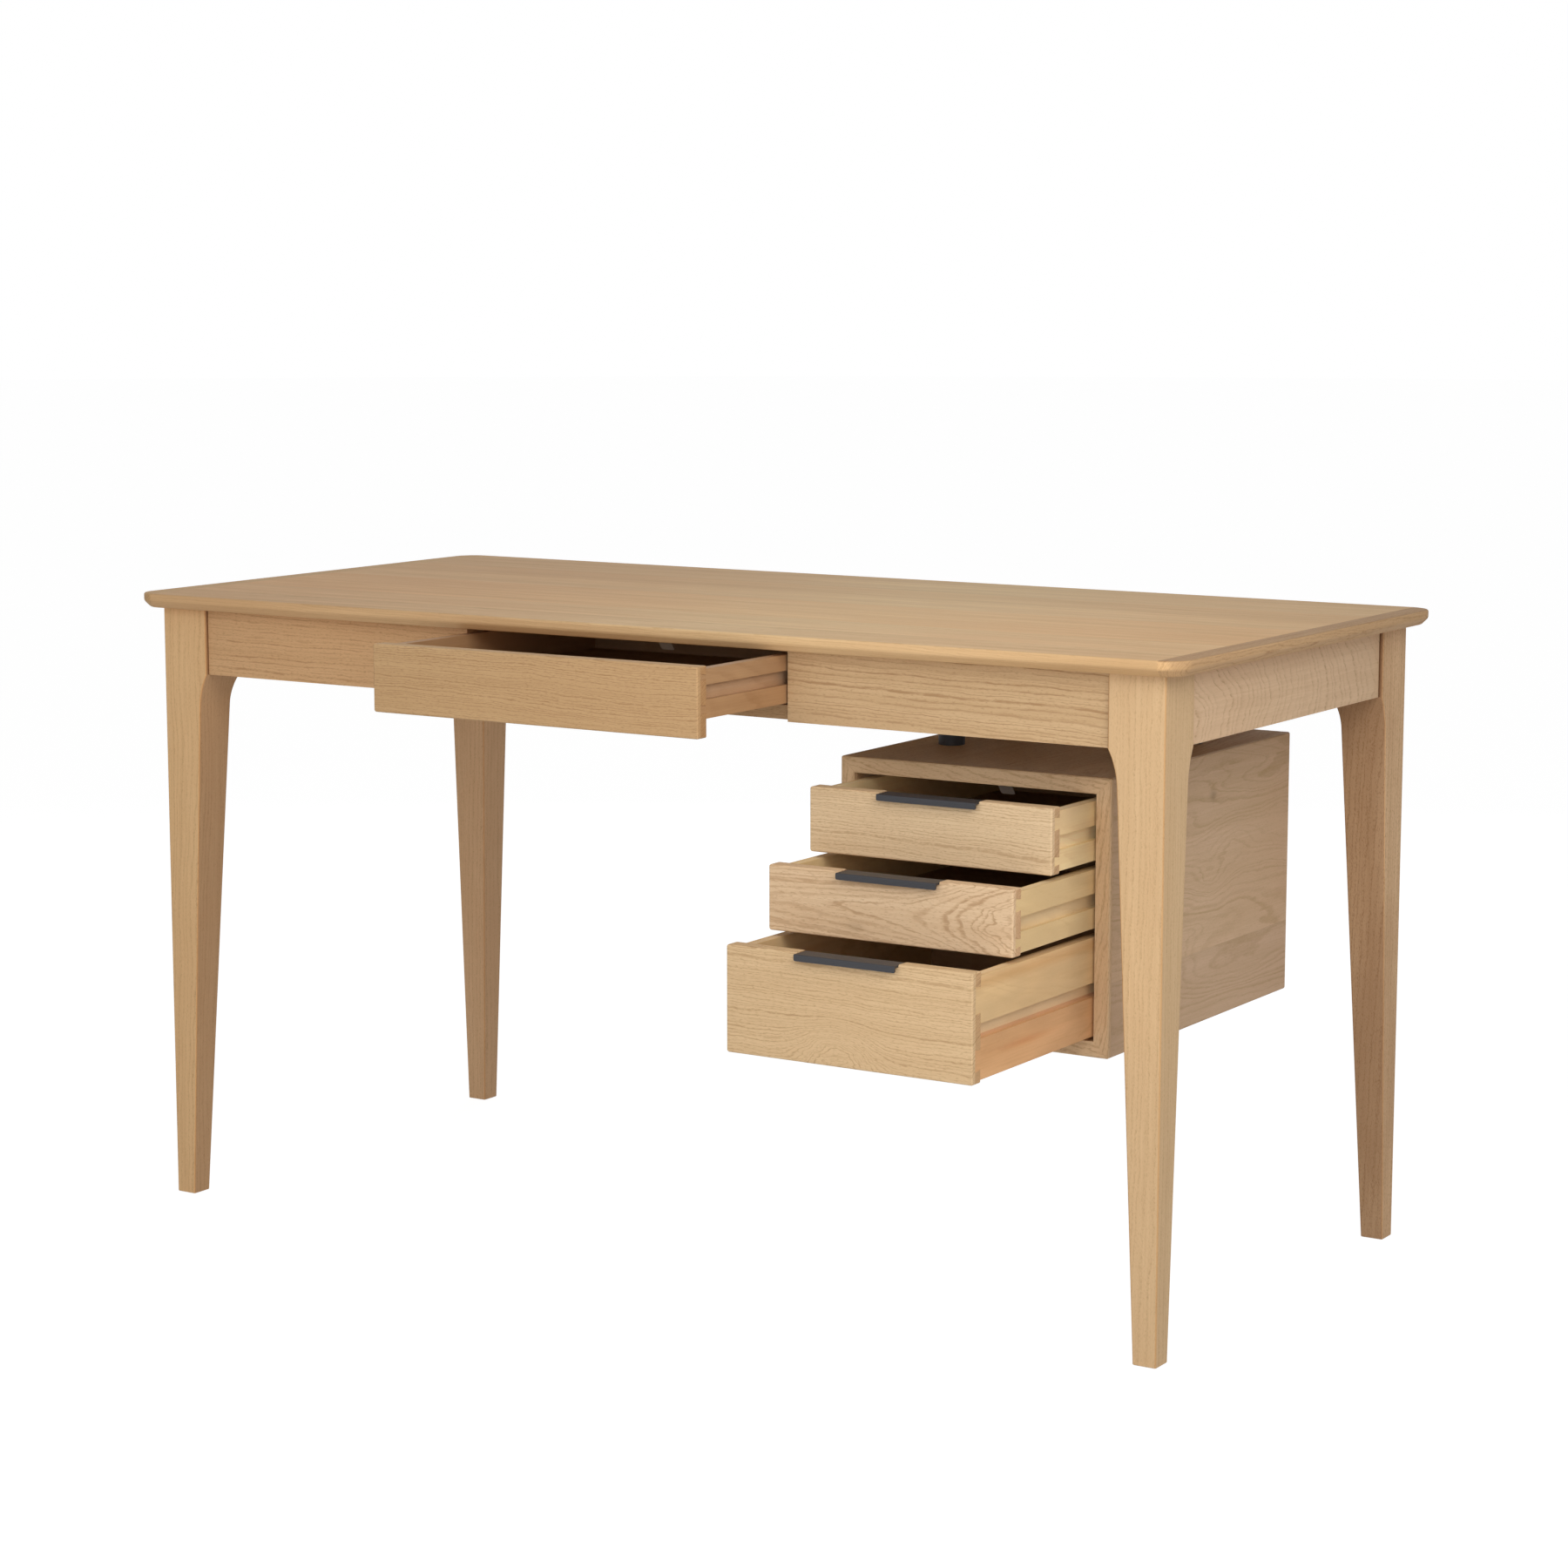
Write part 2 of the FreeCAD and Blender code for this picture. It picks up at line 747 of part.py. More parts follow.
def build_drawer(name, centre_x, closed_y, open_by, opening_width, front_span, side_span, groove_middle, has_pull):
    """A dovetailed box of five pieces, and its pull."""
    face_y = closed_y - open_by
    front_low, front_high = front_span
    low, high = side_span
    half_front = opening_width / 2 - front_gap_side
    half_box = half_front - box_inset
    half_inside = half_box - side_thickness
    back_y = face_y + drawer_length

    bottom_room = make_drawer_bottom(centre_x, half_inside, face_y, low, 0)
    sides = {}
    for side_name, side in (("left", -1), ("right", 1)):
        outer_x = centre_x + side * half_box
        sides[side_name] = make_drawer_side(outer_x, -side, face_y, low, high, groove_middle, bottom_room)
    front = block(
        centre_x - half_front, centre_x + half_front, face_y, face_y + front_thickness, front_low, front_high
    )
    face_edges = [edge for edge in front.Edges if near(edge.BoundBox.YMax, face_y)]
    front = front.makeFillet(front_arris, face_edges)
    front = without(front, list(sides.values()) + [bottom_room])
    if has_pull:
        pull, screws = make_pull(centre_x, face_y, front_high)
        half_notch = pull_length / 2 + pull_end_gap
        notch = block(
            centre_x - half_notch,
            centre_x + half_notch,
            face_y - overrun,
            face_y + front_thickness + overrun,
            front_high - pull_set_down - pull_thickness,
            front_high + overrun,
        )
        front = without(front, [notch] + screws)
        save(f"{name}_pull", pull)
        save(f"{name}_pull_screws", group(screws))

    grooves = [
        block(
            centre_x + side * (half_box - runner_groove_depth),
            centre_x + side * (half_box + overrun),
            face_y,
            back_y + overrun,
            groove_middle - runner_groove_height / 2,
            groove_middle + runner_groove_height / 2,
        )
        for side in (-1, 1)
    ]
    back = block(centre_x - half_box, centre_x + half_box, back_y - back_thickness, back_y, low, high)
    save(f"{name}_front", front)
    save(f"{name}_back", without(back, list(sides.values()) + grooves + [bottom_room]))
    save(f"{name}_bottom", make_drawer_bottom(centre_x, half_inside, face_y, low, bottom_clearance))
    for side_name, side in sides.items():
        save(f"{name}_side_{side_name}", side)


def pedestal_drawers():
    """The pedestal's drawers from the bottom up: name, front, box and groove heights, opening."""
    rows = []
    front_low = pedestal_floor + front_gap
    for name, height, open_by in (
        ("bottom_drawer", deep_front_height, bottom_drawer_open),
        ("middle_drawer", shallow_front_height, middle_drawer_open),
        ("top_drawer", shallow_front_height, top_drawer_open),
    ):
        front_high = front_low + height
        low = front_low + pedestal_side_rise
        high = front_high - pedestal_side_drop
        groove_middle = low + (high - low) * pedestal_groove_share
        rows.append((name, (front_low, front_high), (low, high), groove_middle, open_by))
        front_low = front_high + front_gap
    return rows


os.makedirs("parts", exist_ok=True)

buttons = [make_button(x, y, angle) for x, y, angle in button_places()]
posts = [make_post(x, y) for x, y in post_places()]

flap_gap = front_thickness + pull_thickness + flap_front_gap
centre_flap, centre_flap_screw = make_flap(flap_shift_centre, apron_front_y + flap_gap, under_top)
pedestal_flap, pedestal_flap_screw = make_flap(
    pedestal_x + flap_shift_pedestal, pedestal_face_y + flap_gap, pedestal_ceiling
)
save("centre_stop_flap", centre_flap)
save("pedestal_stop_flap", pedestal_flap)

centre_front_span = (apron_low, under_top - centre_front_over)
centre_side_span = (apron_low + centre_side_rise, under_top - centre_front_over - centre_side_drop)
centre_groove = centre_side_span[0] + (centre_side_span[1] - centre_side_span[0]) * centre_groove_share
centre_runners, centre_screws = make_runners(0, centre_opening_width, apron_front_y, centre_groove)
save("centre_runners", group(centre_runners))
build_drawer(
    "centre_drawer",
    0,
    apron_front_y,
    centre_drawer_open,
    centre_opening_width,
    centre_front_span,
    centre_side_span,
    centre_groove,
    False,
)

pedestal_screws = []
for drawer, front_span, side_span, groove, open_by in pedestal_drawers():
    runners, screws = make_runners(pedestal_x, pedestal_opening_width, pedestal_face_y, groove)
    save(drawer.replace("drawer", "runners"), group(runners))
    pedestal_screws += screws
    build_drawer(
        drawer,
        pedestal_x,
        pedestal_face_y,
        open_by,
        pedestal_opening_width,
        front_span,
        side_span,
        groove,
        True,
    )

button_screws = [fixing for body, slot, fixing in buttons]
plate_screws = [fixing for post, bolt, screws in posts for fixing in screws]
post_bolts = [bolt for post, bolt, screws in posts]
build_top(button_screws + plate_screws + [centre_flap_screw])
build_aprons(buttons)
build_guide_boards(centre_screws)
build_corners()
build_pedestal(pedestal_screws + post_bolts + [pedestal_flap_screw])
save("top_buttons", group([body for body, slot, fixing in buttons]))
save("posts", group([post for post, bolt, screws in posts]))
save("post_bolts", group(post_bolts))
flap_screws = [centre_flap_screw, pedestal_flap_screw]
save("wood_screws", group(button_screws + plate_screws + centre_screws + pedestal_screws + flap_screws))
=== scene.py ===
import bpy
import json
import math
from mathutils import Matrix, Vector


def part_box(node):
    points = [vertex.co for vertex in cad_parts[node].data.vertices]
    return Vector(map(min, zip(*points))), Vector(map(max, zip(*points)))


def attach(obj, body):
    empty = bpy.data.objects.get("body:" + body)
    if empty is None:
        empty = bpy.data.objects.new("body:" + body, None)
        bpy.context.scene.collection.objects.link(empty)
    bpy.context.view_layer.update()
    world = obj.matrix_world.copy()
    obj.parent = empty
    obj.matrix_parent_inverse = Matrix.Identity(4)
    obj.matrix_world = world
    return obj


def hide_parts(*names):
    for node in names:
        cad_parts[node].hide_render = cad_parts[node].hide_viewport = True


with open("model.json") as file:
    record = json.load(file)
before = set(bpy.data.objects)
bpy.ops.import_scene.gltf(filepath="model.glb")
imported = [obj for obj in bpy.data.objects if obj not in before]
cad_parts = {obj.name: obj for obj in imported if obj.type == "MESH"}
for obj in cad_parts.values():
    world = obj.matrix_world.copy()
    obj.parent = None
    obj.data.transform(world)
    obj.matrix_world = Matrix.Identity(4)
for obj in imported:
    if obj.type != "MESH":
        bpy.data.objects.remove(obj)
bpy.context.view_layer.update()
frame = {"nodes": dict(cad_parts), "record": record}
nodes = frame["nodes"]
print("frame loaded:", len(nodes), "nodes")

axes = {"X": Vector((1, 0, 0)), "Y": Vector((0, 1, 0)), "Z": Vector((0, 0, 1))}
drawerNames = ("centre_drawer", "top_drawer", "middle_drawer", "bottom_drawer")
runnerNames = [name.replace("drawer", "runners") for name in drawerNames]


# Node helpers

def plug(tree, value, socket):
    if isinstance(value, bpy.types.NodeSocket):
        tree.links.new(value, socket)
    else:
        socket.default_value = value


def newNode(tree, kind, *values, settings=None, **inputs):
    # values go into its inputs in turn, and named ones into the inputs of those names
    node = tree.nodes.new("ShaderNode" + kind)
    for name, value in (settings or {}).items():
        setattr(node, name, value)
    for socket, value in zip(node.inputs, values):
        plug(tree, value, socket)
    for name, value in inputs.items():
        plug(tree, value, node.inputs[name])
    return node


def calc(tree, operation, *values, clamp=False):
    return newNode(tree, "Math", *values, settings={"operation": operation, "use_clamp": clamp}).outputs[0]


def times(tree, first, second):
    return calc(tree, "MULTIPLY", first, second)


def timesPlus(tree, first, second, added):
    return calc(tree, "MULTIPLY_ADD", first, second, added)


def vectorCalc(tree, operation, *values):
    outputs = newNode(tree, "VectorMath", *values, settings={"operation": operation}).outputs
    return outputs["Value" if operation == "DOT_PRODUCT" else "Vector"]


def split(tree, vector):
    return tuple(newNode(tree, "SeparateXYZ", vector).outputs)


def joinUp(tree, *values):
    return newNode(tree, "CombineXYZ", *values).outputs[0]


def whiteNoise(tree, value):
    return newNode(tree, "TexWhiteNoise", settings={"noise_dimensions": "1D"}, W=value).outputs


def noise(tree, vector, detail, roughness):
    return newNode(tree, "TexNoise", Vector=vector, Scale=1.0, Detail=detail, Roughness=roughness).outputs


def ramped(tree, value, low, high, start=0.0, end=1.0):
    smooth = {"interpolation_type": "SMOOTHSTEP"}
    return newNode(tree, "MapRange", value, low, high, start, end, settings=smooth).outputs[0]


def swelling(tree, vector, centre, length, width):
    # 1 at the centre, fading to nothing over this length and width
    awayX, awayY = split(tree, vectorCalc(tree, "SUBTRACT", vector, centre))[:2]
    awayX, awayY = calc(tree, "DIVIDE", awayX, length), calc(tree, "DIVIDE", awayY, width)
    far = timesPlus(tree, awayX, awayX, times(tree, awayY, awayY))
    return calc(tree, "EXPONENT", times(tree, far, -1.0))


def blendColours(tree, share, first, second):
    node = newNode(tree, "Mix", share, settings={"data_type": "RGBA", "clamp_factor": True})
    plug(tree, first, node.inputs[6])
    plug(tree, second, node.inputs[7])
    return node.outputs[2]


def tintWhere(tree, share, colour, tint):
    return blendColours(tree, share, colour, vectorCalc(tree, "MULTIPLY", colour, tint))


def bumped(tree, height, strength, distance):
    return newNode(tree, "Bump", Height=height, Strength=strength, Distance=distance).outputs[0]


def newMaterial(name):
    material = bpy.data.materials.new(name)
    material.use_nodes = True
    tree = material.node_tree
    return material, tree, tree.nodes["Principled BSDF"]


def sRGB(red, green, blue):
    # a colour as it's read off a screen, 0 to 255, made linear
    def linear(value):
        value = value / 255
        return value / 12.92 if value <= 0.04045 else ((value + 0.055) / 1.055) ** 2.4
    return (linear(red), linear(green), linear(blue), 1.0)


def tinted(colour, red, green, blue):
    return (min(colour[0] * red, 1), min(colour[1] * green, 1), min(colour[2] * blue, 1), 1.0)


# Wood: a board is cut from a log whose pith is the X axis. X runs along the grain, Z out of the shown face

# how fast each pattern changes along and across the grain, per metre, then its detail and roughness
oakPatterns = {
    "wander": ((2.6, 10.0, 10.0), 2.0, 0.5),
    "ripple": ((30.0, 90.0, 90.0), 2.0, 0.55),
    "fibres": ((14.0, 420.0, 420.0), 3.0, 0.6),
    "streaks": ((2.2, 55.0, 55.0), 3.0, 0.6),
    "clouds": ((4.0, 11.0, 11.0), 3.0, 0.55),
}
oakForm = {
    "boardsApart": 3.0, "boardsDeeper": 0.02,       # how far apart in the log two glued boards may come from
    "curlRipple": 0.3,                              # extra ripple in a curl, as a share of its height
    "ringChange": 0.31, "ringUnevenness": 2.6,      # how soon the rings' widths change, and how much
    "faintestRing": 0.4,
    "earlyRise": 0.15, "earlyFade": (0.18, 0.60),   # shares of a ring's width
    "lineRise": 0.10, "lineFade": 0.16,
    "dashesAcross": 260.0, "dashShift": 7.3, "dashFade": 0.22,
    "poresAcross": 1100.0, "poreCrowding": 0.16, "poreRange": (0.54, 0.78),
    "darkShare": 0.28, "fibreTone": 0.9, "cloudRange": (0.38, 0.68), "boardWarmth": 0.5,
    "roughness": 0.50, "fibreRoughness": 0.2, "poreRoughness": 0.25, "fibreHeight": 0.3,
}

# what a board may change: first the sockets of solidOak, then the colours they are made from and the rest
woodLook = {
    "Board width": 4.0, "Board shift": 0.0, "Board spread": 0.0, "Ring gap": 0.0024, "Taper": 0.02,
    "Warp": 0.020, "Ripple": 0.0044, "Ring tone": 0.35, "Ring line": 0.55, "Line width": 0.22,
    "Line length": 0.009, "Line gaps": 0.41, "Pore strength": 0.5, "Pore length": 0.005, "Streak": 1.2,
    "Cloud": 0.5, "Curl height": 0.0, "Curl length": 0.05, "Curl width": 0.02, "Curl place": (0.0, 0.0, 0.0),
    "tone": (206, 172, 130), "pale": (1.10, 1.11, 1.13), "dark": (0.87, 0.82, 0.77),
    "pore": (0.60, 0.49, 0.41), "blush": (0.99, 0.95, 0.93),
    "start": 0.0, "pith": (0.12, 0.05),         # how far up the log, and the pith's place beside and below
    "specular": 0.25, "bump": 0.3,
    "showing": (1.0, 1.0, 1.0), "edges": (1.0, 1.0, 1.0), "arris": (1.0, 1.0, 1.0),
    "endGrain": (0.84, 0.75, 0.68), "lap": 1.0,     # end grain shows up to this far above the board's middle
    "hollow": (1.0, 1.0, (1.0, 1.0, 1.0)),          # a tint for a groove's floor, from one depth to another
    "spots": (), "corners": (),
}


def oakPattern(tree, place, name):
    speeds, detail, roughness = oakPatterns[name]
    return noise(tree, vectorCalc(tree, "MULTIPLY", place, speeds), detail, roughness)


def boardPlace(tree, given):
    # boards glued side by side come from different places in the log
    x, y, z = split(tree, given["Vector"])
    index = calc(tree, "ROUND", calc(tree, "DIVIDE", y, given["Board width"]))
    luck = split(tree, whiteNoise(tree, index)["Color"])
    shift = calc(tree, "SUBTRACT", luck[1], 0.5)
    place = joinUp(tree, timesPlus(tree, luck[0], oakForm["boardsApart"], x),
                   timesPlus(tree, shift, given["Board shift"], y),
                   timesPlus(tree, luck[2], oakForm["boardsDeeper"], z))
    return place, shift, calc(tree, "SUBTRACT", luck[2], 0.5)


def ringRadius(tree, given, place):
    # the way out from the pith, which wanders along the log, ripples a little and swells round a curl
    wander = split(tree, oakPattern(tree, place, "wander")["Color"])
    x, y, z = split(tree, place)
    y = timesPlus(tree, calc(tree, "SUBTRACT", wander[1], 0.5), given["Warp"], y)
    z = timesPlus(tree, calc(tree, "SUBTRACT", wander[2], 0.5), given["Warp"], z)
    square = timesPlus(tree, y, y, times(tree, z, z))
    radius = timesPlus(tree, x, given["Taper"], calc(tree, "SQRT", square))
    curl = swelling(tree, given["Vector"], given["Curl place"], given["Curl length"], given["Curl width"])
    swell = times(tree, given["Curl height"], curl)
    ripple = calc(tree, "SUBTRACT", oakPattern(tree, place, "ripple")["Fac"], 0.5)
    size = timesPlus(tree, calc(tree, "ABSOLUTE", swell), oakForm["curlRipple"], given["Ripple"])
    return calc(tree, "ADD", timesPlus(tree, ripple, size, radius), swell)


def ringBands(tree, given, place, radius):
    # each ring starts with a band of pores and fades; no two are the same width or strength
    ring = calc(tree, "DIVIDE", radius, given["Ring gap"])
    uneven = newNode(tree, "TexNoise", settings={"noise_dimensions": "1D"}, Scale=1.0,
                     W=times(tree, ring, oakForm["ringChange"])).outputs["Fac"]
    ring = timesPlus(tree, uneven, oakForm["ringUnevenness"], ring)
    number, share = calc(tree, "FLOOR", ring), calc(tree, "FRACT", ring)
    faintest = oakForm["faintestRing"]
    strength = timesPlus(tree, whiteNoise(tree, number)["Value"], 1 - faintest, faintest)
    early = times(tree, ramped(tree, share, 0.0, oakForm["earlyRise"]),
                  ramped(tree, share, *oakForm["earlyFade"], 1.0, 0.0))
    lineEnd = calc(tree, "ADD", given["Line width"], oakForm["lineFade"])
    line = times(tree, ramped(tree, share, 0.0, oakForm["lineRise"]),
                 ramped(tree, share, given["Line width"], lineEnd, 1.0, 0.0))

    # the line along a ring's pores is broken into dashes
    x, y, z = split(tree, place)
    along = joinUp(tree, calc(tree, "DIVIDE", x, given["Line length"]),
                   timesPlus(tree, y, oakForm["dashesAcross"], times(tree, number, oakForm["dashShift"])),
                   times(tree, z, oakForm["dashesAcross"]))
    dash = ramped(tree, noise(tree, along, 2.0, 0.6)["Fac"], given["Line gaps"],
                  calc(tree, "ADD", given["Line gaps"], oakForm["dashFade"]))
    return times(tree, early, strength), times(tree, line, times(tree, strength, dash))


def makeOakGroup():
    tree = bpy.data.node_groups.new("solidOak", "ShaderNodeTree")
    inputs = {"Vector": "Vector", **{name: "Float" for name in woodLook if name[0].isupper()},
              "Curl place": "Vector", **dict.fromkeys(("Pale", "Dark", "Pore", "Blush"), "Color")}
    outputs = {"Color": "Color", "Roughness": "Float", "Height": "Float"}
    for way, sockets in (("INPUT", inputs), ("OUTPUT", outputs)):
        for name, kind in sockets.items():
            tree.interface.new_socket(name, in_out=way, socket_type="NodeSocket" + kind)
    given = tree.nodes.new("NodeGroupInput").outputs
    result = tree.nodes.new("NodeGroupOutput").inputs
    place, shift, warmth = boardPlace(tree, given)
    early, line = ringBands(tree, given, place, ringRadius(tree, given, place))

    # fibres, broad streaks, and loose pores that are thickest in the early wood
    fibres = oakPattern(tree, place, "fibres")["Fac"]
    streaks = oakPattern(tree, place, "streaks")["Fac"]
    clouds = oakPattern(tree, place, "clouds")["Fac"]
    across = oakForm["poresAcross"]
    fineX, fineY, fineZ = split(tree, vectorCalc(tree, "MULTIPLY", place, (1.0, across, across)))
    fine = joinUp(tree, calc(tree, "DIVIDE", fineX, given["Pore length"]), fineY, fineZ)
    grain = noise(tree, fine, 1.0, 0.5)["Fac"]
    pores = ramped(tree, timesPlus(tree, early, oakForm["poreCrowding"], grain), *oakForm["poreRange"])

    share = timesPlus(tree, early, given["Ring tone"], oakForm["darkShare"])
    share = timesPlus(tree, calc(tree, "SUBTRACT", fibres, 0.5), oakForm["fibreTone"], share)
    streaks = calc(tree, "SUBTRACT", streaks, 0.5)
    share = calc(tree, "MULTIPLY_ADD", streaks, given["Streak"], share, clamp=True)
    colour = blendColours(tree, share, given["Pale"], given["Dark"])
    haze = times(tree, ramped(tree, clouds, *oakForm["cloudRange"]), given["Cloud"])
    colour = blendColours(tree, haze, colour, given["Blush"])
    pores, line = times(tree, pores, given["Pore strength"]), times(tree, line, given["Ring line"])
    ink = calc(tree, "MAXIMUM", pores, line)
    colour = blendColours(tree, ink, colour, given["Pore"])

    # glued boards differ in brightness and warmth
    tone = timesPlus(tree, shift, given["Board spread"], 1.0)
    warmth = times(tree, warmth, given["Board spread"])
    tint = joinUp(tree, timesPlus(tree, warmth, oakForm["boardWarmth"], tone), tone,
                  timesPlus(tree, warmth, -oakForm["boardWarmth"], tone))
    plug(tree, vectorCalc(tree, "MULTIPLY", colour, tint), result["Color"])
    roughness = timesPlus(tree, fibres, oakForm["fibreRoughness"], oakForm["roughness"])
    plug(tree, timesPlus(tree, ink, oakForm["poreRoughness"], roughness), result["Roughness"])
    plug(tree, timesPlus(tree, fibres, oakForm["fibreHeight"], times(tree, ink, -1.0)), result["Height"])
    return tree


oakGroup = makeOakGroup()
# the corner values paint shade into the upright corners between legs and aprons
woodMarks = {"seamSoftness": 0.0003, "hollowSoftness": 0.0004, "lapSoftness": 0.0002, "cornerReach": 0.0032,
             "cornerSoftness": 0.001, "cornerTint": (0.34, 0.27, 0.22), "bumpDepth": 0.0003}
# how squarely a surface has to look that way, from no tint to all of it
facing = {"showing": (0.6, 0.9), "edges": (0.5, 0.9), "arris": (0.1, 0.4), "endGrain": (0.75, 0.95)}


def markBoard(tree, look, seen, place, colour):
    aside, below = look["pith"]
    if "lowerBoard" in look:
        # the board is glued up from two: the lower one starts this far from its middle and has another tint
        seam, tint = look["lowerBoard"]
        soft = woodMarks["seamSoftness"]
        lower = ramped(tree, split(tree, place)[1], aside + seam - soft, aside + seam + soft, 1.0, 0.0)
        colour = tintWhere(tree, lower, colour, tint)
    for spotX, spotY, length, width, tint in look["spots"]:
        # smudges and small knots, and on the top panel broad patches that are partly painted sheen, each
        # placed from the middle of the board
        spot = swelling(tree, place, (spotX + look["start"], spotY + aside, 0.0), length, width)
        colour = tintWhere(tree, spot, colour, tint)
    inner, outer, tint = look["hollow"]
    soft = woodMarks["hollowSoftness"]
    depth = split(tree, place)[2]
    hollow = times(tree, ramped(tree, depth, below + inner - soft, below + inner),
                   ramped(tree, depth, below + outer, below + outer + soft, 1.0, 0.0))
    colour = tintWhere(tree, hollow, colour, tint)
    for x, y, low in look["corners"]:
        # painted shade, with some dark finish, in an upright corner between a leg and an apron, above this
        # height
        soft, reach = woodMarks["cornerSoftness"], woodMarks["cornerReach"]
        corner = times(tree, swelling(tree, seen["Object"], (x, y, 0.0), reach, reach),
                       ramped(tree, split(tree, seen["Object"])[2], low - soft, low + soft))
        colour = tintWhere(tree, corner, colour, woodMarks["cornerTint"])
    return colour


# tints by which way a face looks; on the front left leg's sides and the back right leg's front they are
# painted shade
def tintFaces(tree, look, normal, place, along, face, colour):
    outward = vectorCalc(tree, "DOT_PRODUCT", normal, face)
    sideways = vectorCalc(tree, "DOT_PRODUCT", normal, face.cross(along))
    endways = vectorCalc(tree, "DOT_PRODUCT", normal, along)
    rounded = calc(tree, "ABSOLUTE", times(tree, outward, sideways))
    sideways, endways = calc(tree, "ABSOLUTE", sideways), calc(tree, "ABSOLUTE", endways)
    for mark, amount in (("showing", outward), ("edges", sideways), ("arris", rounded)):
        colour = tintWhere(tree, ramped(tree, amount, *facing[mark]), colour, look[mark])
    lap, soft = look["pith"][1] + look["lap"], woodMarks["lapSoftness"]
    deep = ramped(tree, split(tree, place)[2], lap - soft, lap + soft, 1.0, 0.0)
    ends = times(tree, ramped(tree, endways, *facing["endGrain"]), deep)
    return tintWhere(tree, ends, colour, look["endGrain"])


def makeWood(name, along, face, centre, changes):
    look = {**woodLook, **changes}
    material, tree, shader = newMaterial(name)
    seen = newNode(tree, "TexCoord").outputs
    aside, below = look["pith"]

    # the turn carries the board's own axes to the grain's direction and the face's normal
    across = face.cross(along)
    origin = centre - along * look["start"] - across * aside - face * below
    turn = Matrix((along, across, face)).transposed().to_euler()
    place = newNode(tree, "Mapping", settings={"vector_type": "TEXTURE"}, Vector=seen["Object"],
                    Location=origin, Rotation=turn).outputs[0]

    wood = newNode(tree, "Group")
    wood.node_tree = oakGroup
    tree.links.new(place, wood.inputs["Vector"])
    for socket in wood.inputs:
        if socket.name in look:
            socket.default_value = look[socket.name]
    curl = look["Curl place"]
    wood.inputs["Curl place"].default_value = (curl[0] + look["start"], curl[1] + aside, 0.0)
    tone = sRGB(*look["tone"])
    for socket in ("Pale", "Dark", "Pore", "Blush"):
        wood.inputs[socket].default_value = tinted(tone, *look[socket.lower()])

    colour = markBoard(tree, look, seen, place, wood.outputs["Color"])
    colour = tintFaces(tree, look, seen["Normal"], place, along, face, colour)
    tree.links.new(colour, shader.inputs["Base Color"])
    tree.links.new(wood.outputs["Roughness"], shader.inputs["Roughness"])
    shader.inputs["Specular IOR Level"].default_value = look["specular"]
    bump = bumped(tree, wood.outputs["Height"], look["bump"], woodMarks["bumpDepth"])
    tree.links.new(bump, shader.inputs["Normal"])
    return material


def middleOf(node):
    low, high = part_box(node)
    return (low + high) / 2


def dress(node, material):
    nodes[node].material_slots[0].material = material


front, right, up = -axes["Y"], axes["X"], axes["Z"]
legRun = {"pith": (0.10, 0.07), "Ring gap": 0.0045, "Warp": 0.012, "Taper": 0.01, "Line length": 0.0030,
          "Line gaps": 0.47, "Line width": 0.14, "Pore strength": 0.26, "Pore length": 0.003,
          "Ring tone": 0.14, "Streak": 0.8, "arris": (0.92, 0.80, 0.68)}
sideRun = {"Pore strength": 0.08, "Ring line": 0.12, "Ring gap": 0.009, "Taper": 0.12,
           "pith": (0.02, 0.05), "Cloud": 1.0, "blush": (0.84, 0.83, 0.84), "Warp": 0.05, "Streak": 1.8,
           "hollow": (-0.004, 0.002, (1.04, 1.10, 1.26))}
# the runners are coloured almost black as painted shade for the groove behind each opening
runnerShadeDark = {"tone": (62, 48, 38), "endGrain": (0.8, 0.8, 0.8)}

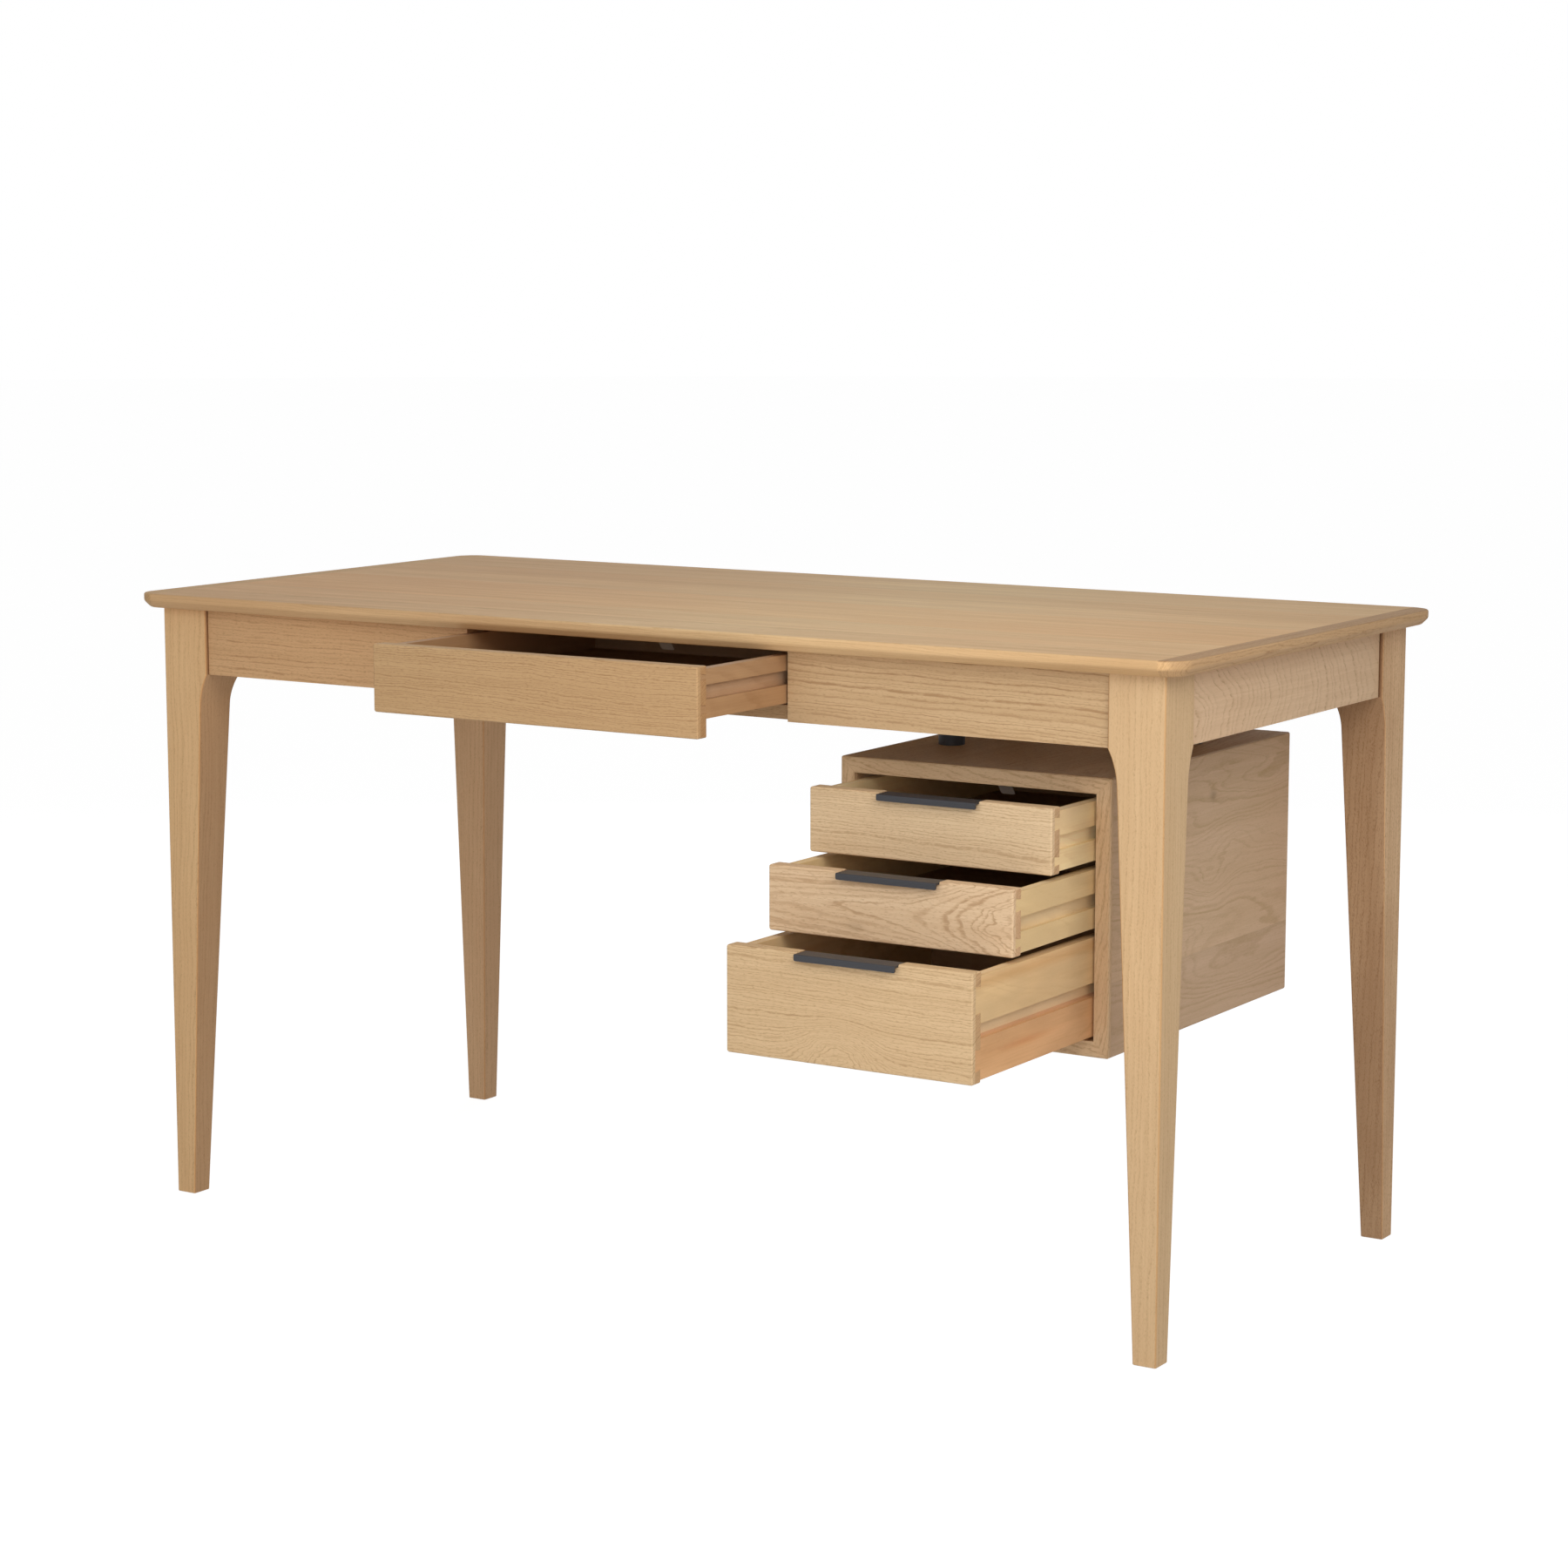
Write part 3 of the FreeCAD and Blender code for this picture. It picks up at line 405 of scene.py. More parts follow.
# which way the grain runs, which face shows, and what is special about the board
boards = {
    "top_panel": ("X", up, {
        "tone": (229, 190, 141), "Board width": 0.09, "Board shift": 0.15, "Board spread": 0.16,
        "pith": (0.3, 0.1), "Ring line": 0.2, "Pore strength": 0.12, "Streak": 2.2, "Cloud": 0.8,
        # broad patches across the whole top: the pale, cool one is a painted sheen
        "spots": ((-0.55, 0.0, 0.35, 1.0, (0.92, 0.88, 0.86)), (0.16, 0.0, 0.24, 1.0, (1.05, 1.12, 1.16)),
                  (0.66, 0.0, 0.14, 1.0, (0.88, 0.87, 0.84)))}),
    "top_end_left": ("Y", up, {
        "tone": (214, 176, 128), "Cloud": 0.2, "endGrain": (0.95, 0.92, 0.88), "Pore strength": 0.2}),
    "top_end_right": ("Y", up, {
        "tone": (199, 161, 117), "showing": (0.74, 0.71, 0.67), "Cloud": 0.2,
        "endGrain": (1.27, 1.30, 1.28), "Pore strength": 0.3}),
    "apron_front_left": ("X", front, {
        "tone": (215, 173, 127), "Line length": 0.020, "Ring gap": 0.0036, "Ring line": 0.65}),
    "apron_front_right": ("X", front, {
        "tone": (203, 171, 130), "Line length": 0.022, "Ring gap": 0.0044, "Ring line": 0.75,
        "Line gaps": 0.36, "Ring tone": 0.42, "Warp": 0.026}),
    "front_rail": ("X", front, {"tone": (190, 155, 115)}),
    "apron_back": ("X", -front, {}),
    "apron_left": ("Y", -right, {}),
    "apron_right": ("Y", right, {
        "tone": (224, 191, 154), "Taper": 0.45, "Warp": 0.06, "Ring gap": 0.0062, "Ring line": 0.65,
        "pith": (0.03, 0.08), "Line length": 0.018, "Line width": 0.10, "Pore strength": 0.14,
        "Ring tone": 0.3, "Ripple": 0.0065}),
    "guide_board_left": ("Y", -right, {}),
    "guide_board_right": ("Y", right, {}),
    "pedestal_top": ("Y", up, {"tone": (228, 208, 182)}),
    "pedestal_bottom": ("Y", -up, {"tone": (204, 170, 134)}),
    "pedestal_left": ("Y", -right, {"tone": (204, 172, 134)}),
    "pedestal_right": ("Y", right, {
        "tone": (210, 181, 147), "Board width": 0.2, "Board shift": 0.1, "Board spread": 0.12,
        "pith": (0.369, 0.03), "Taper": 0.06, "Warp": 0.16, "Ring gap": 0.010, "Ripple": 0.009,
        "Ring line": 0.2, "Ring tone": 0.55, "Pore strength": 0.2, "Line length": 0.02,
        "Curl height": 0.030, "Curl length": 0.045, "Curl width": 0.032, "Curl place": (0.018, 0.003, 0.0),
        "pale": (1.10, 1.10, 1.16), "dark": (0.86, 0.83, 0.75), "lowerBoard": (-0.069, (0.94, 0.91, 0.90)),
        "spots": ((0.0235, 0.102, 0.008, 0.006, (0.72, 0.70, 0.68)),)}),
    "pedestal_back": ("X", -front, {}),
    "corner_blocks": ("Z", front, {}),
    "top_buttons": ("X", -up, {}),
    **{name: ("Y", right, runnerShadeDark) for name in runnerNames},
    # the front left leg's side faces are tinted darker: painted shade where light from the right is blocked
    "leg_front_left": ("Z", front, {
        **legRun, "edges": (0.68, 0.65, 0.68), "Warp": 0.03, "Taper": 0.03, "Ring tone": 0.3,
        "tone": (232, 191, 140)}),
    "leg_front_right": ("Z", front, {**legRun, "tone": (213, 180, 137)}),
    # the back right leg's front face is tinted darker: painted shade
    "leg_back_right": ("Z", front, {
        **legRun, "tone": (221, 183, 140), "showing": (0.64, 0.61, 0.61), "Cloud": 0.9,
        "blush": (0.86, 0.80, 0.76), "arris": (0.96, 0.88, 0.80), "Streak": 1.8, "Pore strength": 0.6,
        "Line gaps": 0.40}),
    "leg_back_left": ("Z", front, {**legRun, "tone": (227, 187, 144)}),
    "centre_drawer_front": ("X", front, {
        "Ring line": 0.7, "Line length": 0.014, "Line gaps": 0.37, "tone": (198, 162, 118), "Warp": 0.02}),
    "top_drawer_front": ("X", front, {
        "tone": (221, 193, 154), "Ring gap": 0.0026, "Line length": 0.010, "Ring line": 0.65,
        "Line gaps": 0.39, "Ring tone": 0.42, "Warp": 0.03}),
    "middle_drawer_front": ("X", front, {
        "tone": (223, 193, 156), "pith": (0.002, 0.015), "Taper": -0.02, "Curl height": -0.030,
        "Curl length": 0.085, "Curl width": 0.3, "Curl place": (0.165, 0.0, 0.0), "Ring gap": 0.0042,
        "Ring tone": 0.42, "Ring line": 0.6, "Line length": 0.02, "Line gaps": 0.36, "Warp": 0.024,
        "Ripple": 0.0032, "dark": (0.86, 0.78, 0.71),
        "spots": ((-0.040, -0.022, 0.012, 0.006, (0.82, 0.80, 0.78)),)}),
    "bottom_drawer_front": ("X", front, {
        "tone": (215, 184, 142), "Curl height": -0.030, "Curl length": 0.040, "Curl width": 0.026,
        "Curl place": (-0.013, -0.040, 0.0), "Ring gap": 0.0030, "Ring line": 0.6, "Line length": 0.012,
        "Line gaps": 0.38, "Streak": 0.9, "Cloud": 0.3, "Ripple": 0.0055}),
}

# the pedestal drawers' sides are paler the higher they sit: painted light against the shade under the top
sideTonesAndPaintedLight = {
    "centre_drawer": {"tone": (180, 141, 102), "lowerBoard": (0.0, (1.0, 0.98, 0.95))},
    "top_drawer": {"tone": (252, 220, 168)},
    "middle_drawer": {"tone": (241, 211, 157)},
    "bottom_drawer": {"tone": (234, 199, 147), "spots": ((0.0, 0.046, 0.5, 0.006, (0.94, 0.84, 0.76)),
                                                         (-0.10, -0.030, 0.05, 0.004, (0.96, 0.82, 0.74)))},
}
redderBoard = (-0.0085, (0.88, 0.72, 0.67))     # the lower half of the bottom drawer's right side
frontLap = 0.006                                # the wood left in front of the dovetail sockets


def addDrawerBoards(drawer):
    boards[drawer + "_back"] = ("X", front, {**sideRun, "tone": (190, 155, 118)})
    boards[drawer + "_bottom"] = ("X", up, {"tone": (170, 138, 104)})
    for side, face in (("left", -right), ("right", right)):
        boards[f"{drawer}_side_{side}"] = ("Y", face, {**sideRun, **sideTonesAndPaintedLight[drawer]})
    low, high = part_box(drawer + "_front")
    boards[drawer + "_front"][2]["lap"] = (high - low).y / 2 - frontLap


def legShadedCorners(end, side):
    # the two upright corners between a leg and its aprons, where shade is painted
    legLow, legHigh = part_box(f"leg_{end}_{side}")
    apronLow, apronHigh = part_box("apron_right")
    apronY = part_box("apron_front_left")[0].y if end == "front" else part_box("apron_back")[1].y
    apronX = apronHigh.x if side == "right" else -apronHigh.x
    innerX = legHigh.x if side == "left" else legLow.x
    innerY = legHigh.y if end == "front" else legLow.y
    return (innerX, apronY, apronLow.z), (apronX, innerY, apronLow.z)


for drawer in drawerNames:
    addDrawerBoards(drawer)
boards["bottom_drawer_side_right"][2]["lowerBoard"] = redderBoard
for end in ("front", "back"):
    for side in ("left", "right"):
        boards[f"leg_{end}_{side}"][2]["corners"] = legShadedCorners(end, side)
logStep = 0.73      # each board starts this much further up the log than the one before
for number, (node, (way, face, look)) in enumerate(boards.items()):
    look = {"start": logStep * number, **look}
    dress(node, makeWood(node + "_oak", axes[way], face, middleOf(node), look))
print("wood dressed")


# Metal and plastic

plainLook = {"metallic": 0.0, "grainSize": 900.0, "darkGrain": 0.8, "roughnessSpread": 0.12, "bump": 0.15,
             "bumpDepth": 0.0001}


def makePlain(name, colour, roughness, **changes):
    look = {**plainLook, **changes}
    material, tree, shader = newMaterial(name)
    seen = newNode(tree, "TexCoord").outputs
    spread = look["roughnessSpread"]
    grain = vectorCalc(tree, "MULTIPLY", seen["Object"], (look["grainSize"],) * 3)
    speckle = noise(tree, grain, 3.0, 0.6)["Fac"]
    shade = tinted(colour, *(look["darkGrain"],) * 3)
    tree.links.new(blendColours(tree, speckle, colour, shade), shader.inputs["Base Color"])
    tree.links.new(timesPlus(tree, speckle, spread, roughness - spread / 2), shader.inputs["Roughness"])
    shader.inputs["Metallic"].default_value = look["metallic"]
    tree.links.new(bumped(tree, speckle, look["bump"], look["bumpDepth"]), shader.inputs["Normal"])
    return material


blackMetal = makePlain("black_powder_coat", sRGB(52, 52, 56), 0.48)
steel = makePlain("zinc_steel", sRGB(190, 190, 192), 0.35, metallic=1.0, grainSize=400.0)
greyPlastic = makePlain("grey_plastic", sRGB(150, 145, 140), 0.4)
glidePlastic = makePlain("glide_plastic", sRGB(205, 202, 196), 0.5)
for node in nodes:
    if node.endswith("_pull") or node == "posts":
        dress(node, blackMetal)
    elif "screws" in node or "bolts" in node:
        dress(node, steel)
    elif node.endswith("stop_flap"):
        dress(node, greyPlastic)
    elif node == "foot_glides":
        dress(node, glidePlastic)
print("metal and plastic dressed")


# Shaping helpers

def alone(piece):
    bpy.ops.object.select_all(action="DESELECT")
    piece.select_set(True)
    bpy.context.view_layer.objects.active = piece


def startShaping(piece, kind="FACE"):
    alone(piece)
    bpy.ops.object.mode_set(mode="EDIT")
    bpy.ops.mesh.select_mode(type=kind)
    bpy.ops.mesh.select_all(action="DESELECT")


def stopShaping():
    bpy.ops.object.mode_set(mode="OBJECT")


def pick(piece, chosen, kind="FACE"):
    # selects the faces or edges that chosen() says yes to: it's given the centre and the normal or direction
    bpy.ops.mesh.select_all(action="DESELECT")
    bpy.ops.object.mode_set(mode="OBJECT")
    mesh = piece.data
    if kind == "FACE":
        for face in mesh.polygons:
            face.select = bool(chosen(face.center, face.normal))
    else:
        for edge in mesh.edges:
            a, b = (mesh.vertices[index].co for index in edge.vertices)
            edge.select = bool(chosen((a + b) / 2, (b - a).normalized()))
    bpy.ops.object.mode_set(mode="EDIT")
    bpy.ops.mesh.select_mode(type=kind)


def bevelEdges(piece, chosen, width, steps):
    pick(piece, chosen, "EDGE")
    bpy.ops.mesh.bevel(offset=width, segments=steps)


def drawOn(move):
    bpy.ops.mesh.extrude_region_move(TRANSFORM_OT_translate={"value": move})


def drawOut(piece, chosen, move):
    pick(piece, chosen)
    drawOn(move)


def resizeAbout(place, share):
    bpy.ops.transform.resize(value=(share, share, 1), center_override=place)


def slicePiece(place, way, **settings):
    bpy.ops.mesh.select_all(action="SELECT")
    bpy.ops.mesh.bisect(plane_co=place, plane_no=way, **settings)


def applyPlace():
    bpy.ops.object.transform_apply(location=True, rotation=True, scale=True)


def boxPiece(name, low, high):
    low, high = Vector(low), Vector(high)
    bpy.ops.mesh.primitive_cube_add(size=1, location=(low + high) / 2, scale=high - low)
    piece = bpy.context.object
    piece.name = piece.data.name = name
    applyPlace()
    return piece


def roundPiece(radius, low, high, sides, x=0, y=0):
    bpy.ops.mesh.primitive_cylinder_add(vertices=sides, radius=radius, depth=high - low,
                                        location=(x, y, (high + low) / 2))
    applyPlace()
    return bpy.context.object


def copyOf(model):
    piece = model.copy()
    piece.data = model.data.copy()
    bpy.context.collection.objects.link(piece)
    return piece


def joinPieces(pieces, name):
    bpy.ops.object.select_all(action="DESELECT")
    for piece in pieces:
        piece.select_set(True)
    bpy.context.view_layer.objects.active = pieces[0]
    applyPlace()
    bpy.ops.object.join()
    pieces[0].name = name
    return pieces[0]


def modify(piece, kind, **settings):
    alone(piece)
    modifier = piece.modifiers.new(kind.title(), kind)
    for key, value in settings.items():
        setattr(modifier, key, value)
    bpy.ops.object.modifier_apply(modifier=modifier.name)


def carve(piece, operation, tool):
    # a boolean with a tool that is used up
    modify(piece, "BOOLEAN", operation=operation, object=tool, solver="EXACT")
    bpy.data.objects.remove(tool)


def finishEdges(piece, ease, steps=2, angle=35):
    # sharp edges are eased, and flat faces stay flat in the shading
    limit = math.radians(angle)
    modify(piece, "BEVEL", width=ease, segments=steps, limit_method="ANGLE", angle_limit=limit)
    alone(piece)
    bpy.ops.object.shade_smooth_by_angle(angle=limit)
    modify(piece, "WEIGHTED_NORMAL", keep_sharp=True, weight=80)


def close(first, second, gap=0.00002):
    return abs(first - second) < gap


def cornerPlaces(node, inset):
    low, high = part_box(node)
    return [(x, y) for x in (low.x + inset, high.x - inset) for y in (low.y + inset, high.y - inset)]


def standFor(piece, body, material, *replaced):
    piece.data.materials.clear()
    piece.data.materials.append(material)
    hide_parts(*replaced)
    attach(piece, body)


bodyOf = {node: body for body, names in frame["record"]["behaviour"]["bodies"].items() for node in names}
woodOf = {node: bpy.data.materials[node + "_oak"] for node in boards}


# Table top: one slab is rounded and bevelled, then cut into the panel and its two end strips

topLook = {"cornerRadius": 0.030, "cornerSteps": 14, "underBevel": 0.008, "underEase": 0.0022,
           "underSteps": 3, "arris": 0.0025, "arrisSteps": 4, "seamEase": 0.00012}


def makeTopPiece(name, keepFrom, keepTo):
    look = topLook
    low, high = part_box("top_panel")
    low.x, high.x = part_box("top_end_left")[0].x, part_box("top_end_right")[1].x
    slab = boxPiece(name, low, high)
    startShaping(slab, "EDGE")
    bevelEdges(slab, lambda centre, way: abs(way.z) > 0.9, look["cornerRadius"], look["cornerSteps"])
    bevelEdges(slab, lambda centre, way: close(centre.z, low.z), look["underBevel"], 1)
    bevelEdges(slab, lambda centre, way: close(centre.z, high.z), look["arris"], look["arrisSteps"])
    for height in (low.z, low.z + look["underBevel"]):
        bevelEdges(slab, lambda centre, way: close(centre.z, height), look["underEase"], look["underSteps"])
    for place, side in ((keepFrom, -1), (keepTo, 1)):
        if place is not None:
            slicePiece((place, 0, 0), (side, 0, 0), use_fill=True, clear_outer=True)
    stopShaping()
    finishEdges(slab, look["seamEase"], 1, 40)
    return slab


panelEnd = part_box("top_end_right")[0].x
for node, keepFrom, keepTo in (("top_panel", -panelEnd, panelEnd), ("top_end_left", None, -panelEnd),
                               ("top_end_right", panelEnd, None)):
    standFor(makeTopPiece(node + "_board", keepFrom, keepTo), "desk", woodOf[node], node)
print("top modelled")


# Legs: a block the size of the apron joint is drawn down round its outer corner, through haunch and foot

legLook = {"width": 0.066, "neck": 0.055, "foot": 0.0275, "footHeight": 0.001, "haunch": 0.040,
           "haunchSteps": 14, "taperSteps": 3, "arris": 0.0020, "arrisSteps": 3, "ease": 0.0006}


def legWidths(apronLow):
    # heights and widths below the apron: a hollow curve that meets the straight taper smoothly
    foot = Vector((legLook["foot"], legLook["footHeight"]))
    neck = Vector((legLook["neck"], apronLow - legLook["haunch"]))
    shoulder = Vector((legLook["width"], apronLow))
    taper = (neck - foot).normalized()
    towardsCentre = Vector((taper.y, -taper.x))
    chord = shoulder - neck
    radius = chord.length_squared / (2 * chord.dot(towardsCentre))
    centre = neck + towardsCentre * radius
    start = math.atan2(shoulder.y - centre.y, shoulder.x - centre.x) % (2 * math.pi)
    end = math.atan2(neck.y - centre.y, neck.x - centre.x) % (2 * math.pi)
    stations = []
    for step in range(1, legLook["haunchSteps"] + 1):
        angle = start + (end - start) * step / legLook["haunchSteps"]
        stations.append((centre.y + radius * math.sin(angle), centre.x + radius * math.cos(angle)))
    for step in range(1, legLook["taperSteps"] + 1):
        point = neck.lerp(foot, step / legLook["taperSteps"])
        stations.append((point.y, point.x))
    return stations


def makeLeg():
    low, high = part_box("leg_front_left")
    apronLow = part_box("apron_left")[0].z
    corner = low.copy()
    leg = boxPiece("leg", (low.x, low.y, apronLow), high)
    startShaping(leg)
    pick(leg, lambda centre, normal: normal.z < -0.9)
    height, width = apronLow, high.x - low.x
    for newHeight, newWidth in legWidths(apronLow):
        drawOn((0, 0, newHeight - height))
        resizeAbout((corner.x, corner.y, newHeight), newWidth / width)
        height, width = newHeight, newWidth
    bevelEdges(leg, lambda centre, way: abs(way.z) > 0.6, legLook["arris"], legLook["arrisSteps"])
    stopShaping()
    finishEdges(leg, legLook["ease"], 1, 40)
    return leg, corner


def placeLeg(model, corner, name, quarterTurns):
    leg = copyOf(model)
    leg.name = f"leg_{name}_turned"
    low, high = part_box("leg_" + name)
    place = Vector((low.x if "left" in name else high.x, low.y if "front" in name else high.y, 0))
    leg.matrix_world = (Matrix.Translation(place) @ Matrix.Rotation(math.radians(90 * quarterTurns), 4, "Z")
                        @ Matrix.Translation(Vector((-corner.x, -corner.y, 0))))
    alone(leg)
    applyPlace()
    standFor(leg, "desk", woodOf["leg_" + name], "leg_" + name)


legModel, legCorner = makeLeg()
for quarterTurns, name in enumerate(("front_left", "front_right", "back_right", "back_left")):
    placeLeg(legModel, legCorner, name, quarterTurns)
bpy.data.objects.remove(legModel)
print("legs modelled")


# Jointed boards keep the shape of their joints, and get eased edges

boardEase = {"pedestal": 0.0005, "apron": 0.0003, "guide": 0.0006, "front": 0.0003, "side": 0.0003,
             "runners": 0.0005, "other": 0.0004}
frontLook = {"leftCorner": 0.0032, "rightCorner": 0.0019, "arris": 0.0016, "steps": 4, "openBy": 0.0015,
             "behind": 0.01}
lippingLook = {"depth": 0.006, "ease": 0.0003,
               "oak": {"tone": (220, 188, 148), "Ring gap": 0.0028, "Taper": 0.08}}
lippingRuns = {"pedestal_top": "X", "pedestal_bottom": "X", "pedestal_left": "Z", "pedestal_right": "Z"}


def looseCopy(node, name):
    # a copy of a CAD node with its own merged mesh
    piece = copyOf(nodes[node])
    piece.name = name
    for key in list(piece.keys()):
        del piece[key]
    piece.parent = None
    piece.hide_viewport = piece.hide_render = False
    alone(piece)
    bpy.ops.mesh.customdata_custom_splitnormals_clear()
    bpy.ops.object.mode_set(mode="EDIT")
    bpy.ops.mesh.select_all(action="SELECT")
    bpy.ops.mesh.remove_doubles(threshold=0.00001)
    bpy.ops.mesh.dissolve_limited(angle_limit=math.radians(2))
    bpy.ops.object.mode_set(mode="OBJECT")
    return piece


def finishFront(piece, drawer):
    # the sockets are opened at the ends, so that the sides' tails show, and the face gets rounded corners
    look = frontLook
    for side, way in (("left", -1), ("right", 1)):
        tail = looseCopy(f"{drawer}_side_{side}", "tailCutter")
        tail.location.x = way * look["openBy"]
        applyPlace()
        carve(piece, "DIFFERENCE", tail)
    low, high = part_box(drawer + "_front")
    block = boxPiece("roundedBlock", low, high + axes["Y"] * look["behind"])
    startShaping(block, "EDGE")
    for place, radius in ((low.x, look["leftCorner"]), (high.x, look["rightCorner"])):
        bevelEdges(block, lambda centre, way: abs(way.y) > 0.9 and close(centre.x, place),
                   radius, look["steps"])
    bevelEdges(block, lambda centre, way: close(centre.y, low.y), look["arris"], look["steps"])
    stopShaping()
    carve(piece, "INTERSECT", block)


def easeBoard(node, ending, ease, material, cut=None):
    # cut is a place along Y and the side of it that goes away, for a board that is made in two pieces
    piece = looseCopy(node, node + ending)
    if cut:
        startShaping(piece, "EDGE")
        slicePiece((0, cut[0], 0), (0, cut[1], 0), use_fill=True, clear_outer=True)
        stopShaping()
    if node.endswith("_drawer_front"):
        finishFront(piece, bodyOf[node])
    finishEdges(piece, ease, 2, 32)
    standFor(piece, bodyOf[node], material, node)


def addLipping(node):
    # strips of wood along the front edges of the pedestal's panels, with the grain along them
    seam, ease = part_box(node)[0].y + lippingLook["depth"], lippingLook["ease"]
    easeBoard(node, "_panel", ease, woodOf[node], (seam, -1))
    oak = makeWood(node + "_lipping_oak", axes[lippingRuns[node]], front, middleOf(node), lippingLook["oak"])
    easeBoard(node, "_lipping", ease, oak, (seam, 1))


for node in boards:
    if node in lippingRuns:
        addLipping(node)
    elif not node.startswith(("top_panel", "top_end", "leg_")):
        ease = next((value for key, value in boardEase.items() if key in node), boardEase["other"])
        easeBoard(node, "_eased", ease, woodOf[node])
print("boards eased")


# Pulls: a strip of plate with its lip drawn down in front and its leg behind, then the folds are rounded

pullLook = {"thickness": 0.002, "lipHeight": 0.007, "legHeight": 0.015, "outerBend": 0.0017,
            "outerSteps": 6, "innerBend": 0.0007, "innerSteps": 3, "lipCorner": 0.0018, "lipSteps": 5,
            "ease": 0.00025}


def makePull(drawer):
    look = pullLook
    low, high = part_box(drawer + "_pull")
    thick = look["thickness"]
    under, lipLow = high.z - thick, high.z - look["lipHeight"]
    plate = boxPiece(drawer + "_pull_folded", (low.x, low.y, under), high)
    startShaping(plate)
    for place in (low.y + thick, high.y - thick):
        slicePiece((0, place, 0), (0, 1, 0))
    drawOut(plate, lambda centre, normal: normal.z < -0.9 and centre.y < low.y + thick,
            (0, 0, thick - look["lipHeight"]))
    drawOut(plate, lambda centre, normal: normal.z < -0.9 and centre.y > high.y - thick,
            (0, 0, thick - look["legHeight"]))
    bevelEdges(plate, lambda centre, way: abs(way.x) > 0.9 and close(centre.z, high.z)
               and (close(centre.y, low.y) or close(centre.y, high.y)), look["outerBend"], look["outerSteps"])
    bevelEdges(plate, lambda centre, way: abs(way.x) > 0.9 and close(centre.z, under),
               look["innerBend"], look["innerSteps"])
    bevelEdges(plate, lambda centre, way: abs(way.y) > 0.9 and close(centre.z, lipLow),
               look["lipCorner"], look["lipSteps"])
    stopShaping()
    finishEdges(plate, look["ease"])
    standFor(plate, drawer, blackMetal, drawer + "_pull")


for drawer in drawerNames[1:]:
    makePull(drawer)
print("pulls modelled")


# Posts: a turned stem whose head is drawn out to a plate under the top

postLook = {"radius": 0.015, "plateRadius": 0.034, "plateThickness": 0.004, "sides": 64, "ease": 0.0006}
postLow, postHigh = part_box("posts")
plateUnder = postHigh.z - postLook["plateThickness"]
postCentres = cornerPlaces("posts", postLook["plateRadius"])


def makePost():
    post = roundPiece(postLook["radius"], postLow.z, plateUnder, postLook["sides"])
    startShaping(post)
    drawOut(post, lambda centre, normal: normal.z > 0.9, (0, 0, 0))
    resizeAbout((0, 0, plateUnder), postLook["plateRadius"] / postLook["radius"])
    drawOn((0, 0, postLook["plateThickness"]))
    stopShaping()
    finishEdges(post, postLook["ease"])
    return post


postModel = makePost()
posts = []
for x, y in postCentres:
    posts.append(copyOf(postModel))
    posts[-1].location = (x, y, 0)
bpy.data.objects.remove(postModel)
standFor(joinPieces(posts, "posts_turned"), "desk", blackMetal, "posts")
print("posts modelled")


# Stop flaps: a springy leaf drawn down and back from the front edge of its base

flapLook = {"thickness": 0.0015, "angle": 51.0, "foldShare": 0.8, "tipCorner": 0.0025, "steps": 4,
            "ease": 0.0003}


def makeFlap(node):
    look = flapLook
    low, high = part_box(node)
    thick = look["thickness"]
    angle = math.radians(look["angle"])
    wide = thick / math.sin(angle)
    drop = high.z - low.z - thick
    leaf = boxPiece(node + "_leaf", (low.x, low.y, high.z - thick), high)
    startShaping(leaf)
    slicePiece((0, low.y + wide, 0), (0, 1, 0))
    drawOut(leaf, lambda centre, normal: normal.z < -0.9 and centre.y < low.y + wide,
            (0, drop / math.tan(angle), -drop))
    bevelEdges(leaf, lambda centre, way: abs(way.x) > 0.9 and close(centre.y, low.y)
               and close(centre.z, high.z), thick * look["foldShare"], look["steps"])
    bevelEdges(leaf, lambda centre, way: abs(way.y) > 0.5 and centre.z < low.z + thick,
               look["tipCorner"], look["steps"])
    stopShaping()
    finishEdges(leaf, look["ease"], 2, 32)
    standFor(leaf, "desk", greyPlastic, node)


stopFlaps = ("centre_stop_flap", "pedestal_stop_flap")
for node in stopFlaps:
    makeFlap(node)
print("stop flaps modelled")


# Glides: a plastic disc under each foot

glideLook = {"radius": 0.009, "sides": 40, "ease": 0.0008, "easeSteps": 3}
glideLow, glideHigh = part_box("foot_glides")
glides = []
for x, y in cornerPlaces("foot_glides", glideLook["radius"]):
    glides.append(roundPiece(glideLook["radius"], glideLow.z, glideHigh.z, glideLook["sides"], x, y))
    finishEdges(glides[-1], glideLook["ease"], glideLook["easeSteps"])
standFor(joinPieces(glides, "foot_glides_rounded"), "desk", glidePlastic, "foot_glides")
print("glides modelled")


# Screws: one countersunk head with a cross cut in it, copied to every place

screwLook = {"headRadius": 0.0038, "rimHeight": 0.0004, "domeShare": 0.72, "rise": 0.0003,
             "headHeight": 0.002, "shankRadius": 0.002, "length": 0.011, "sides": 24, "crossWidth": 0.0009,
             "crossReach": 0.0023, "crossDepth": 0.0013, "crossOver": 0.001, "turnEach": 1.9}
fixingLook = {"runnerFace": 0.0087, "runnerEnd": 0.04, "plateCircle": 0.025, "plateAngles": (60, 180, 300),
              "buttonDepth": 0.016, "buttonIn": 0.013, "flapBack": 0.018}


